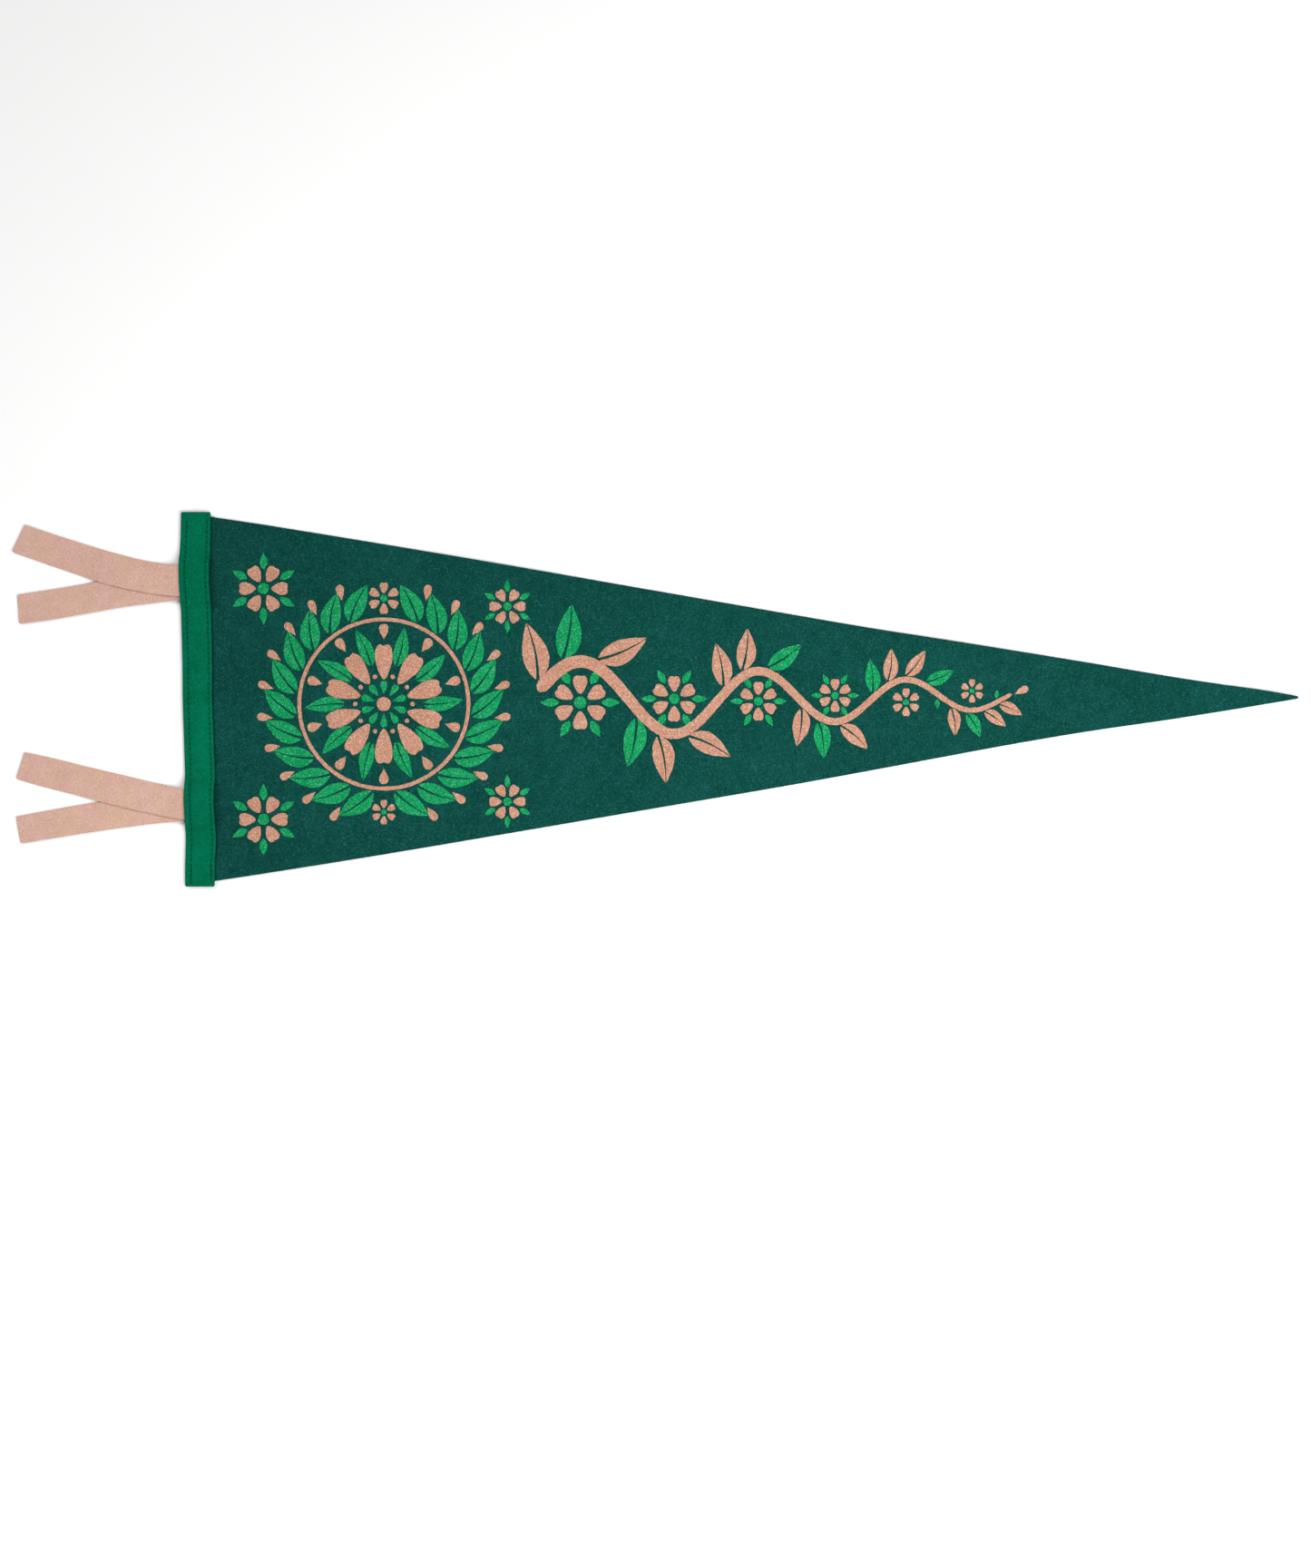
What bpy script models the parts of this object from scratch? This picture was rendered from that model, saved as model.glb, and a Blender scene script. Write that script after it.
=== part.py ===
"""A felt pennant lying face up: a long triangle, a heading band and two folded ties.

X runs from the hoist to the point, Y along the hoist and Z up. The origin is on the
back of the cloth, in the middle of the hoist, on the surface that the pennant lies on.
The sizes and tables here are in millimetres, and the meshes are in metres.
"""

from bisect import bisect_right
from math import atan, cos, hypot, pi, radians, sin, sqrt, tan
from typing import NamedTuple

import bmesh
import bpy
import numpy as np

MM = 0.001

# Pieces that touch are kept this far apart.
GAP = 0.3

# The triangle: its corners, its thickness and how finely it is divided.
HOIST_X = -8.2
HOIST_LEAN = 0.0125
HOIST_HALF = 115.0
POINT_X = 676.2
POINT_Y = 0.5
POINT_ROUNDING = 0.9
BODY_THICK = 1.2
BODY_COLUMNS = 24
POINT_STEPS = (18.0, 10.0, 5.0, 2.2, 0.9, 0.3)

# The heading band, centred on the hoist.
BAND_TOP = 115.0
BAND_BOTTOM = -115.3
BAND_THICK = 1.2
BAND_STEP = 3.6
BAND_SWELL_LEVEL = 1.3
BAND_SWELL_RUN = 7.0

# The ties: strips folded in two, with the fold under the band.
TIE_THICK = 1.1
CREASE_X = 3.0
TIE_STEP = 5.0
TIE_ACROSS = 6
FOLD_STEPS = 4
FOLD_STRAIGHT_RUN = 9.0
HEADING_REACH = 1.0
TIE_DROP_LEVEL = 1.5
TIE_DROP_RUN = 13.0
TIE_SPREAD_LEVEL = 0.9
TIE_SPREAD_RUN = 8.0
CUT_SKEW_RUN = 10.0

# The round corners of every cut strip, and where sections are placed along them.
CORNER_ROUNDING = 1.1
CORNER_SHARES = (0.0, 0.3, 1.0)
CORNER_RUN = 2.0 * CORNER_ROUNDING


class EdgeRow(NamedTuple):
    """How far the two long cuts stray outwards from straight, along the pennant."""

    along: float
    upper: float
    lower: float


EDGE_WANDER = (
    EdgeRow(0, -0.6, -0.6),
    EdgeRow(25, 0.1, -0.1),
    EdgeRow(110, 0.8, 0.9),
    EdgeRow(200, 0.7, 1.0),
    EdgeRow(290, 0.1, 0.8),
    EdgeRow(380, -0.5, 0.6),
    EdgeRow(424, -0.7, 0.0),
    EdgeRow(468, -0.2, -0.8),
    EdgeRow(513, 0.2, -1.5),
    EdgeRow(558, 0.4, -1.4),
    EdgeRow(602, 0.3, -0.3),
    EdgeRow(636, 0.7, 0.1),
    EdgeRow(660, 1.4, 0.2),
    EdgeRow(686, 1.2, 0.2),
)


class RiseRow(NamedTuple):
    """A soft low place where the cloth stands off the surface."""

    x: float
    y: float
    reach_x: float
    reach_y: float
    height: float


CLOTH_RISES = (
    RiseRow(690, 0, 82, 40, 2.6),
    RiseRow(205, 96, 100, 34, 1.7),
    RiseRow(300, -74, 84, 30, 1.5),
    RiseRow(452, 34, 96, 24, 1.3),
    RiseRow(520, -36, 78, 26, 1.9),
)


class BandRow(NamedTuple):
    """The band's middle line and width, at places along the hoist."""

    y: float
    middle: float
    width: float


BAND_SHAPE = (
    BandRow(-116, 1.0, 18.2),
    BandRow(-100, 1.05, 18.2),
    BandRow(-87, 1.6, 18.6),
    BandRow(-75, 1.2, 18.4),
    BandRow(-60, 0.5, 18.3),
    BandRow(-50, 0.95, 18.4),
    BandRow(-27, 0.35, 18.2),
    BandRow(0, -0.5, 18.1),
    BandRow(20, -0.6, 18.3),
    BandRow(40, -1.0, 18.4),
    BandRow(60, -1.6, 18.5),
    BandRow(74, -2.4, 18.5),
    BandRow(82, -2.4, 18.7),
    BandRow(100, -1.7, 18.4),
    BandRow(116, -1.5, 18.2),
)


class SeamRow(NamedTuple):
    """The band's face across its width, from -1 at its outer edge to 1 at its inner."""

    across: float
    lift: float


BAND_FACE = (
    SeamRow(-1.0, -0.1),
    SeamRow(-0.80, 0.15),
    SeamRow(-0.62, -0.35),
    SeamRow(-0.44, 0.15),
    SeamRow(0.0, 0.2),
    SeamRow(0.58, 0.15),
    SeamRow(0.75, -0.35),
    SeamRow(0.88, 0.1),
    SeamRow(1.0, -0.1),
)


class TailRow(NamedTuple):
    """A tail's middle line and width, from its cut end to the fold."""

    x: float
    y: float
    width: float


class TailShape(NamedTuple):
    """One free tail of a tie, and how far its end is cut off square, in degrees."""

    rows: tuple
    cut_skew: float


class TieShape(NamedTuple):
    """A folded tie, whose over tail lies on its under tail."""

    name: str
    over: TailShape
    under: TailShape


UPPER_TIE = TieShape(
    "tie_upper",
    over=TailShape(
        rows=(
            TailRow(-110.9, 99.0, 18.4),
            TailRow(-91.0, 92.1, 18.7),
            TailRow(-73.1, 86.2, 19.1),
            TailRow(-54.7, 80.4, 19.7),
            TailRow(-36.0, 75.9, 19.3),
            TailRow(-19.5, 73.3, 19.2),
            TailRow(-11.0, 72.8, 19.6),
            TailRow(CREASE_X, 72.4, 18.8),
        ),
        cut_skew=6.5,
    ),
    under=TailShape(
        rows=(
            TailRow(-110.9, 55.2, 17.8),
            TailRow(-91.0, 58.1, 18.1),
            TailRow(-73.1, 61.1, 17.9),
            TailRow(-46.3, 66.0, 18.3),
            TailRow(-28.5, 68.2, 18.3),
            TailRow(-11.7, 70.4, 18.3),
            TailRow(CREASE_X, 72.4, 18.8),
        ),
        cut_skew=4.4,
    ),
)

LOWER_TIE = TieShape(
    "tie_lower",
    over=TailShape(
        rows=(
            TailRow(-109.7, -40.8, 17.2),
            TailRow(-91.0, -45.5, 18.4),
            TailRow(-73.1, -50.0, 18.5),
            TailRow(-46.3, -56.7, 19.2),
            TailRow(-28.5, -60.8, 19.0),
            TailRow(-11.7, -64.2, 19.0),
            TailRow(CREASE_X, -65.6, 18.4),
        ),
        cut_skew=3.9,
    ),
    under=TailShape(
        rows=(
            TailRow(-110.9, -80.5, 16.7),
            TailRow(-91.0, -77.0, 17.2),
            TailRow(-73.1, -74.0, 17.5),
            TailRow(-46.3, -70.0, 17.8),
            TailRow(-28.5, -67.7, 17.8),
            TailRow(-11.7, -66.2, 18.1),
            TailRow(CREASE_X, -65.6, 18.4),
        ),
        cut_skew=0.0,
    ),
)

TIES = (UPPER_TIE, LOWER_TIE)

# Felt colours, as linear red, green and blue.
DARK_GREEN = (0.0055, 0.069, 0.056)
BRIGHT_GREEN = (0.0010, 0.150, 0.072)
PALE_PEACH = (0.640, 0.425, 0.340)
FELT_ROUGHNESS = 0.95
SHARP_EDGE = radians(40.0)


def ramp(t):
    """A smooth rise from 0 at t = 0 to 1 at t = 1, level on both sides."""
    t = min(max(t, 0.0), 1.0)
    return t * t * (3.0 - 2.0 * t)


def table_value(rows, key, column, at):
    """A column's value on a smooth curve through a table's rows, where key is at."""
    keys = [getattr(row, key) for row in rows]
    values = [getattr(row, column) for row in rows]
    slopes = np.gradient(values, keys)
    i = min(max(bisect_right(keys, at) - 1, 0), len(keys) - 2)
    span = keys[i + 1] - keys[i]
    t = min(max((at - keys[i]) / span, 0.0), 1.0)
    start = values[i] * (1.0 + 2.0 * t) * (1.0 - t) ** 2
    end = values[i + 1] * t * t * (3.0 - 2.0 * t)
    bend = span * t * (1.0 - t) * (slopes[i] * (1.0 - t) - slopes[i + 1] * t)
    return float(start + end + bend)


def rounded_inset(distance, radius):
    """How far a rounded corner draws an edge in, at a distance from the end."""
    if distance >= radius:
        return 0.0
    return radius - sqrt(radius ** 2 - (radius - distance) ** 2)


def even_places(first, last, step):
    """Evenly spaced places from first to last, about a step apart."""
    count = max(1, round(abs(last - first) / step))
    return [first + (last - first) * i / count for i in range(count + 1)]


def corner_places(end, inwards):
    """Places along a strip's round corners, from its end inwards (1 or -1)."""
    return [end + inwards * CORNER_ROUNDING * share for share in CORNER_SHARES]


def hoist_x(y):
    """The body's straight cut edge under the band."""
    return HOIST_X - HOIST_LEAN * y


def cloth_rise(x, y):
    """Height of the cloth's back over the surface."""
    height = 0.0
    for rise in CLOTH_RISES:
        away = hypot((x - rise.x) / rise.reach_x, (y - rise.y) / rise.reach_y)
        height += rise.height * (1.0 - ramp(away))
    return height


def long_edges(x):
    """The y of the upper and lower long cuts at x, drawn together at the round point."""
    along = x - HOIST_X
    share = along / (POINT_X - HOIST_X)
    upper = HOIST_HALF + (POINT_Y - HOIST_HALF) * share
    upper += table_value(EDGE_WANDER, "along", "upper", along)
    lower = -HOIST_HALF + (POINT_Y + HOIST_HALF) * share
    lower -= table_value(EDGE_WANDER, "along", "lower", along)
    middle = (upper + lower) / 2.0
    half = (upper - lower) / 2.0
    half -= rounded_inset(max(POINT_X - x, 0.0), min(POINT_ROUNDING, half))
    return middle + half, middle - half


def body_column(share, steps):
    """One column of points on the cloth's back, from the lower to the upper cut.

    It stands at a share of the way from the leaning hoist to the point.
    """
    upper, lower = long_edges(HOIST_X + (POINT_X - HOIST_X) * share)
    column = []
    for i in range(steps + 1):
        y = lower + (upper - lower) * i / max(steps, 1)
        x = hoist_x(y) + (POINT_X - hoist_x(y)) * share
        column.append((x, y, cloth_rise(x, y)))
    return column


def body_columns():
    """Columns from the hoist to the point, each one point shorter than the last."""
    length = POINT_X - HOIST_X
    columns = [body_column(k / BODY_COLUMNS, BODY_COLUMNS - k) for k in range(BODY_COLUMNS)]
    columns += [body_column(1.0 - distance / length, 1) for distance in POINT_STEPS]
    columns.append(body_column(1.0, 0))
    return columns


def felt_material(name, color):
    """A matt felt of one linear colour."""
    material = bpy.data.materials.new(name)
    material.use_nodes = True
    shader = material.node_tree.nodes["Principled BSDF"]
    shader.inputs["Base Color"].default_value = (*color, 1.0)
    shader.inputs["Roughness"].default_value = FELT_ROUGHNESS
    shader.inputs["Metallic"].default_value = 0.0
    return material


def finish_object(name, mesh_data, color):
    """Turns a closed bmesh in millimetres into a smooth-shaded object in metres."""
    bmesh.ops.scale(mesh_data, vec=(MM, MM, MM), verts=mesh_data.verts)
    bmesh.ops.recalc_face_normals(mesh_data, faces=mesh_data.faces)
    mesh = bpy.data.meshes.new(name)
    mesh_data.to_mesh(mesh)
    mesh_data.free()
    mesh.shade_smooth()
    mesh.set_sharp_from_angle(angle=SHARP_EDGE)
    mesh.materials.append(felt_material(name + "_felt", color))
    body = bpy.data.objects.new(name, mesh)
    bpy.context.scene.collection.objects.link(body)
    return body


def join_columns(sheet, left, right):
    """Faces between two columns of vertices, where right may be one shorter."""
    for i in range(len(left) - 1):
        if len(right) == len(left):
            sheet.faces.new((left[i], right[i], right[i + 1], left[i + 1]))
            continue
        sheet.faces.new((left[i], right[i], left[i + 1]))
        if i + 1 < len(right):
            sheet.faces.new((right[i], right[i + 1], left[i + 1]))


def build_body():
    """The triangle: a lattice of its back, extruded upwards by the felt's thickness."""
    sheet = bmesh.new()
    columns = [[sheet.verts.new(point) for point in column] for column in body_columns()]
    for left, right in zip(columns, columns[1:]):
        join_columns(sheet, left, right)
    extruded = bmesh.ops.extrude_face_region(sheet, geom=list(sheet.faces))
    face_side = [item for item in extruded["geom"] if isinstance(item, bmesh.types.BMVert)]
    bmesh.ops.translate(sheet, vec=(0.0, 0.0, BODY_THICK), verts=face_side)
    return finish_object("pennant_body", sheet, DARK_GREEN)


def build_strip(name, sections, color):
    """A closed strip lofted through sections, each a row on either side of the felt."""
    strip = bmesh.new()
    rings = []
    for outer, inner in sections:
        ring = [strip.verts.new(point) for point in outer]
        ring += [strip.verts.new(point) for point in reversed(inner)]
        rings.append(ring)
    around = len(rings[0])
    for ring, following in zip(rings, rings[1:]):
        for i in range(around):
            j = (i + 1) % around
            strip.faces.new((ring[i], ring[j], following[j], following[i]))
    for ring in (rings[0], rings[-1]):
        for i in range(around // 2 - 1):
            strip.faces.new((ring[i], ring[i + 1], ring[-i - 2], ring[-i - 1]))
    return finish_object(name, strip, color)


def tail_middle(tail, x):
    """The y of a tail's middle line at x."""
    return table_value(tail.rows, "x", "y", x)


def tail_heading(tail, x):
    """The angle between X and a tail's run at x, which ends square to the fold."""
    before = max(x - HEADING_REACH, tail.rows[0].x)
    after = min(x + HEADING_REACH, CREASE_X)
    slope = (tail_middle(tail, after) - tail_middle(tail, before)) / (after - before)
    return atan(slope) * ramp((CREASE_X - x) / FOLD_STRAIGHT_RUN)


def tail_edge(tail, x, side):
    """The y of a tail's upper (side 1) or lower (side -1) edge at x."""
    half = table_value(tail.rows, "x", "width", x) / 2.0
    return tail_middle(tail, x) + side * half / cos(tail_heading(tail, x))


def under_height(x, y):
    """Height of the under tail's back: on the cloth, or down on the surface beyond it."""
    beyond = hoist_x(y) - TIE_DROP_LEVEL - x
    return (BODY_THICK + GAP) * (1.0 - ramp(beyond / TIE_DROP_RUN))


def over_height(tie, x, y):
    """Height of the over tail's back: on the under tail, or draped down beside it."""
    beside = y - tail_edge(tie.under, x, 1) - TIE_SPREAD_LEVEL
    return under_height(x, y) + (TIE_THICK + GAP) * (1.0 - ramp(beside / TIE_SPREAD_RUN))


def tail_section(tail, x, height):
    """A tail's section at x: plan points across it, each with its back's height."""
    end_x = tail.rows[0].x
    from_end = x - end_x
    heading = tail_heading(tail, x)
    half = table_value(tail.rows, "x", "width", x) / 2.0
    half -= rounded_inset(from_end, CORNER_ROUNDING)
    skew = tan(radians(tail.cut_skew)) * (1.0 - ramp(from_end / CUT_SKEW_RUN))
    points = []
    for i in range(TIE_ACROSS + 1):
        aside = half * (2.0 * i / TIE_ACROSS - 1.0)
        px = x - aside * sin(heading) + aside * skew * cos(heading)
        py = tail_middle(tail, x) + aside * cos(heading) + aside * skew * sin(heading)
        points.append((px, py, height(px, py)))
    return points


def raised(points, amount):
    """The same points, higher by an amount."""
    return [(x, y, z + amount) for x, y, z in points]


def tail_sections(tail, height):
    """A tail's sections from its cut end to the fold."""
    end = tail.rows[0].x
    places = corner_places(end, 1) + even_places(end + CORNER_RUN, CREASE_X, TIE_STEP)
    return [tail_section(tail, x, height) for x in places]


def build_tie(tie):
    """A folded tie: the over tail, the fold under the band, then the under tail."""
    over_rows = tail_sections(tie.over, lambda x, y: over_height(tie, x, y))
    under_rows = tail_sections(tie.under, under_height)
    sections = [(raised(row, TIE_THICK), row) for row in over_rows]
    inner_radius = GAP / 2.0
    outer_radius = inner_radius + TIE_THICK
    for i in range(1, FOLD_STEPS):
        turn = pi * i / FOLD_STEPS
        pair = []
        for radius in (outer_radius, inner_radius):
            pair.append([
                (x + radius * sin(turn), y, z - inner_radius + radius * cos(turn))
                for x, y, z in over_rows[-1]
            ])
        sections.append(tuple(pair))
    sections += [(row, raised(row, TIE_THICK)) for row in reversed(under_rows)]
    return build_strip(tie.name, sections, PALE_PEACH)


def tie_swell(x, y):
    """How much the ties lift the band at a place, from 0 to 1."""
    swell = 0.0
    for tie in TIES:
        upper = max(tail_edge(tail, x, 1) for tail in (tie.over, tie.under))
        lower = min(tail_edge(tail, x, -1) for tail in (tie.over, tie.under))
        outside = max(y - upper, lower - y) - BAND_SWELL_LEVEL
        swell = max(swell, 1.0 - ramp(outside / BAND_SWELL_RUN))
    return swell


def build_band():
    """The heading band: flat on the cloth, and swelling softly over each folded tie."""
    places = corner_places(BAND_BOTTOM, 1)
    places += even_places(BAND_BOTTOM + CORNER_RUN, BAND_TOP - CORNER_RUN, BAND_STEP)
    places += reversed(corner_places(BAND_TOP, -1))
    sections = []
    for y in places:
        from_end = min(y - BAND_BOTTOM, BAND_TOP - y)
        middle = table_value(BAND_SHAPE, "y", "middle", y)
        half = table_value(BAND_SHAPE, "y", "width", y) / 2.0
        half -= rounded_inset(from_end, CORNER_ROUNDING)
        back = []
        face = []
        for row in BAND_FACE:
            x = middle + row.across * half
            z = BODY_THICK + GAP + 2.0 * (TIE_THICK + GAP) * tie_swell(x, y)
            back.append((x, y, z))
            face.append((x, y, z + BAND_THICK + row.lift))
        sections.append((face, back))
    return build_strip("header_band", sections, BRIGHT_GREEN)


def main():
    """Clears the scene and builds the pennant's four pieces."""
    for old in list(bpy.data.objects):
        bpy.data.objects.remove(old, do_unlink=True)
    build_body()
    build_band()
    for tie in TIES:
        build_tie(tie)


main()
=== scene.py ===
"""Dresses a felt pennant: its cloth, heading band, folded ties, stitching and print.

The pennant lies face up. X runs from the hoist to the point, Y along the hoist and Z up.
Sizes and tables are in millimetres, and every mesh is made in metres, in the model's frame.
"""

import logging
import math
from collections.abc import Callable, Sequence
from dataclasses import dataclass
from enum import Enum
from typing import NamedTuple

import bpy
import numpy as np
from mathutils import Matrix, Vector


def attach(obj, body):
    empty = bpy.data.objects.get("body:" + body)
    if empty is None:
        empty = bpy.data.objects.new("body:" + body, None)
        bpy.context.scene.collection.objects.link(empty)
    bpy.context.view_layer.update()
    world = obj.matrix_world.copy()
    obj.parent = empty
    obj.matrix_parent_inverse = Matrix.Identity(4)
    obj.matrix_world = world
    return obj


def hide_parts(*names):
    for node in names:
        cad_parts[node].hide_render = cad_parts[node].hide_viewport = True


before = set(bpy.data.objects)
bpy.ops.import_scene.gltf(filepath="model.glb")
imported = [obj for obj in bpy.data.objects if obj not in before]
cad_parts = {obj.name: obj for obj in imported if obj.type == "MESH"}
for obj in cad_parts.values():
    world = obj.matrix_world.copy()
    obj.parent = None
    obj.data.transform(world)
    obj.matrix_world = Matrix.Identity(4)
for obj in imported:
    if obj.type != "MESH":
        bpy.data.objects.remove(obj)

LOG = logging.getLogger("pennant")
MM = 0.001
ROOT = "root"
FULL_TURN = 360.0
SHARP_EDGE = math.radians(62.0)

# The photograph's size in pixels, its scale, and the pixel at which the origin shows.
PHOTO_WIDTH, PHOTO_HEIGHT = 1445, 1728
PHOTO_MM_PER_PIXEL = 0.5582
PHOTO_ORIGIN_X, PHOTO_ORIGIN_Y = 219.0, 770.5

Color = tuple[float, float, float]
Place = tuple[np.ndarray, np.ndarray, np.ndarray]


class EdgeRow(NamedTuple):
    """How far the two long cuts stray outwards from straight, along the pennant."""

    along: float
    upper: float
    lower: float


class RiseRow(NamedTuple):
    """A soft low place where the cloth stands off the surface."""

    x: float
    y: float
    reach_x: float
    reach_y: float
    height: float


class BandRow(NamedTuple):
    """The band's middle line and width, at places along the hoist."""

    y: float
    middle: float
    width: float


class TailRow(NamedTuple):
    """A tail's middle line and width, from its cut end to the fold."""

    x: float
    y: float
    width: float


class Ripple(NamedTuple):
    """One slow wave of a felt's unevenness: its lengths along X and Y, and its height."""

    length_x: float
    length_y: float
    start: float
    height: float


def ramp(t: np.ndarray | float) -> np.ndarray:
    """A smooth rise from 0 at t = 0 to 1 at t = 1, level on both sides."""
    t = np.clip(t, 0.0, 1.0)
    return t * t * (3.0 - 2.0 * t)


def rounded(distance: np.ndarray | float, radius: float) -> np.ndarray:
    """How far a round edge of some radius draws in, at a distance from the edge."""
    near = np.clip(radius - np.asarray(distance, float), 0.0, radius)
    return radius - np.sqrt(radius ** 2 - near ** 2)


class SmoothColumn:
    """A smooth curve through one column of a table."""

    def __init__(self, rows: Sequence[NamedTuple], key: str, column: str) -> None:
        """Reads the column.

        Args:
            rows: The table, in rising order of its key.
            key: The field that places each row.
            column: The field that the curve passes through.
        """
        self.keys = np.array([getattr(row, key) for row in rows], float)
        self.values = np.array([getattr(row, column) for row in rows], float)
        self.slopes = np.gradient(self.values, self.keys)

    def __call__(self, at: np.ndarray | float) -> np.ndarray:
        """The curve's value at each place."""
        i = np.clip(np.searchsorted(self.keys, at, side="right") - 1, 0, len(self.keys) - 2)
        span = self.keys[i + 1] - self.keys[i]
        t = np.clip((at - self.keys[i]) / span, 0.0, 1.0)
        start = self.values[i] * (1.0 + 2.0 * t) * (1.0 - t) ** 2
        end = self.values[i + 1] * t * t * (3.0 - 2.0 * t)
        bend = self.slopes[i] * (1.0 - t) - self.slopes[i + 1] * t
        return start + end + span * t * (1.0 - t) * bend


def edged_places(first: float, last: float, count: int, edge_steps: Sequence[float]) -> np.ndarray:
    """Places from first to last that crowd towards both ends.

    Args:
        first: The first place.
        last: The last place.
        count: How many spaces there are between places.
        edge_steps: Distances from each end at which the outermost places stand.

    Returns:
        The count + 1 places.
    """
    sign = 1.0 if last > first else -1.0
    steps = np.array(edge_steps)
    inner = np.linspace(first + sign * steps[-1], last - sign * steps[-1], count + 3 - 2 * len(steps))
    opening = first + sign * steps[:-1]
    closing = last - sign * steps[:-1][::-1]
    return np.concatenate([opening, inner, closing])


# Modelling helpers

def deselect_all() -> None:
    """Leaves object mode with nothing selected."""
    if bpy.context.mode != "OBJECT":
        bpy.ops.object.mode_set(mode="OBJECT")
    bpy.ops.object.select_all(action="DESELECT")


def take_new(name: str) -> bpy.types.Object:
    """Names the primitive that was just added, and clears its object's place."""
    piece = bpy.context.active_object
    bpy.ops.object.transform_apply(location=True, rotation=True, scale=True)
    piece.name = name
    piece.data.name = name
    return piece


def coordinates(piece: bpy.types.Object) -> np.ndarray:
    """A piece's vertices, as rows of x, y and z."""
    flat = np.empty(len(piece.data.vertices) * 3)
    piece.data.vertices.foreach_get("co", flat)
    return flat.reshape(-1, 3)


def set_coordinates(piece: bpy.types.Object, rows: np.ndarray) -> None:
    """Moves a piece's vertices to rows of x, y and z."""
    piece.data.vertices.foreach_set("co", np.ascontiguousarray(rows, float).ravel())
    piece.data.update()


def apply_modifier(piece: bpy.types.Object, kind: str, **settings: object) -> None:
    """Adds one modifier to a piece and applies it.

    Args:
        piece: The piece.
        kind: The modifier's type.
        **settings: The modifier's own settings.
    """
    deselect_all()
    bpy.context.view_layer.objects.active = piece
    piece.select_set(True)
    modifier = piece.modifiers.new(kind.title(), kind)
    for key, value in settings.items():
        setattr(modifier, key, value)
    bpy.ops.object.modifier_apply(modifier=modifier.name)


def thicken(piece: bpy.types.Object, face: np.ndarray, back: np.ndarray) -> None:
    """Gives a flat piece its two sides, and the walls between them.

    Args:
        piece: A flat sheet whose faces point up.
        face: Where its vertices lie on the upper side, in metres.
        back: Where they lie on the other side, in metres.
    """
    apply_modifier(piece, "SOLIDIFY", thickness=MM, offset=-1.0)
    set_coordinates(piece, np.vstack([face, back]))
    piece.data.shade_smooth()
    piece.data.set_sharp_from_angle(angle=SHARP_EDGE)


def in_metres(place: Place) -> np.ndarray:
    """Rows of x, y and z in metres from three arrays in millimetres."""
    return np.column_stack([np.ravel(part) for part in np.broadcast_arrays(*place)]) * MM


def copies_of(name: str, template: bpy.types.Object, placements: Sequence[Matrix]) -> bpy.types.Object:
    """One joined piece of many placed copies of a template, which is then removed.

    Args:
        name: The joined piece's name.
        template: The shape that was modelled once.
        placements: A matrix for each copy.

    Returns:
        The joined piece.
    """
    rows = coordinates(template)
    padded = np.column_stack([rows, np.ones(len(rows))])
    polygons = [tuple(polygon.vertices) for polygon in template.data.polygons]
    points: list[np.ndarray] = []
    faces: list[tuple[int, ...]] = []
    for number, placement in enumerate(placements):
        matrix = np.array(placement)
        points.append((padded @ matrix.T)[:, :3])
        start = number * len(rows)
        turned = placement.determinant() < 0.0
        for polygon in polygons:
            shifted = tuple(start + corner for corner in polygon)
            faces.append(shifted[::-1] if turned else shifted)
    mesh = bpy.data.meshes.new(name)
    mesh.from_pydata(np.vstack(points).tolist(), [], faces)
    mesh.update()
    piece = bpy.data.objects.new(name, mesh)
    bpy.context.scene.collection.objects.link(piece)
    bpy.data.objects.remove(template, do_unlink=True)
    return piece


def joined(name: str, pieces: Sequence[bpy.types.Object]) -> bpy.types.Object:
    """Joins pieces into one under a new name."""
    deselect_all()
    for piece in pieces:
        piece.select_set(True)
    bpy.context.view_layer.objects.active = pieces[0]
    if len(pieces) > 1:
        bpy.ops.object.join()
    pieces[0].name = name
    pieces[0].data.name = name
    return pieces[0]


# Shader writing

class Signal:
    """A shader value that takes Python's arithmetic, adding a Math node for each step."""

    def __init__(self, painter: "Painter", socket: bpy.types.NodeSocket) -> None:
        """Wraps an output socket of a painter's material."""
        self.painter = painter
        self.socket = socket

    def _math(self, operation: str, *values: "Signal | float") -> "Signal":
        """One Math node over some values."""
        node = self.painter.node("ShaderNodeMath", {"operation": operation}, dict(enumerate(values)))
        return Signal(self.painter, node.outputs[0])

    def __add__(self, other: "Signal | float") -> "Signal":
        """This value plus another."""
        return self._math("ADD", self, other)

    __radd__ = __add__

    def __sub__(self, other: "Signal | float") -> "Signal":
        """This value less another."""
        return self._math("SUBTRACT", self, other)

    def __rsub__(self, other: float) -> "Signal":
        """A number less this value."""
        return self._math("SUBTRACT", other, self)

    def __mul__(self, other: "Signal | float") -> "Signal":
        """This value times another."""
        return self._math("MULTIPLY", self, other)

    __rmul__ = __mul__

    def above(self, level: float, softness: float) -> "Signal":
        """0 below a level and 1 above it, over a soft step."""
        share = (self - (level - softness / 2.0)) * (1.0 / softness)
        return share.clamped()

    def clamped(self) -> "Signal":
        """This value held between 0 and 1."""
        return Signal(self.painter, self.painter.node(
            "ShaderNodeClamp", {}, {"Value": self, "Min": 0.0, "Max": 1.0}).outputs[0])


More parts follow.
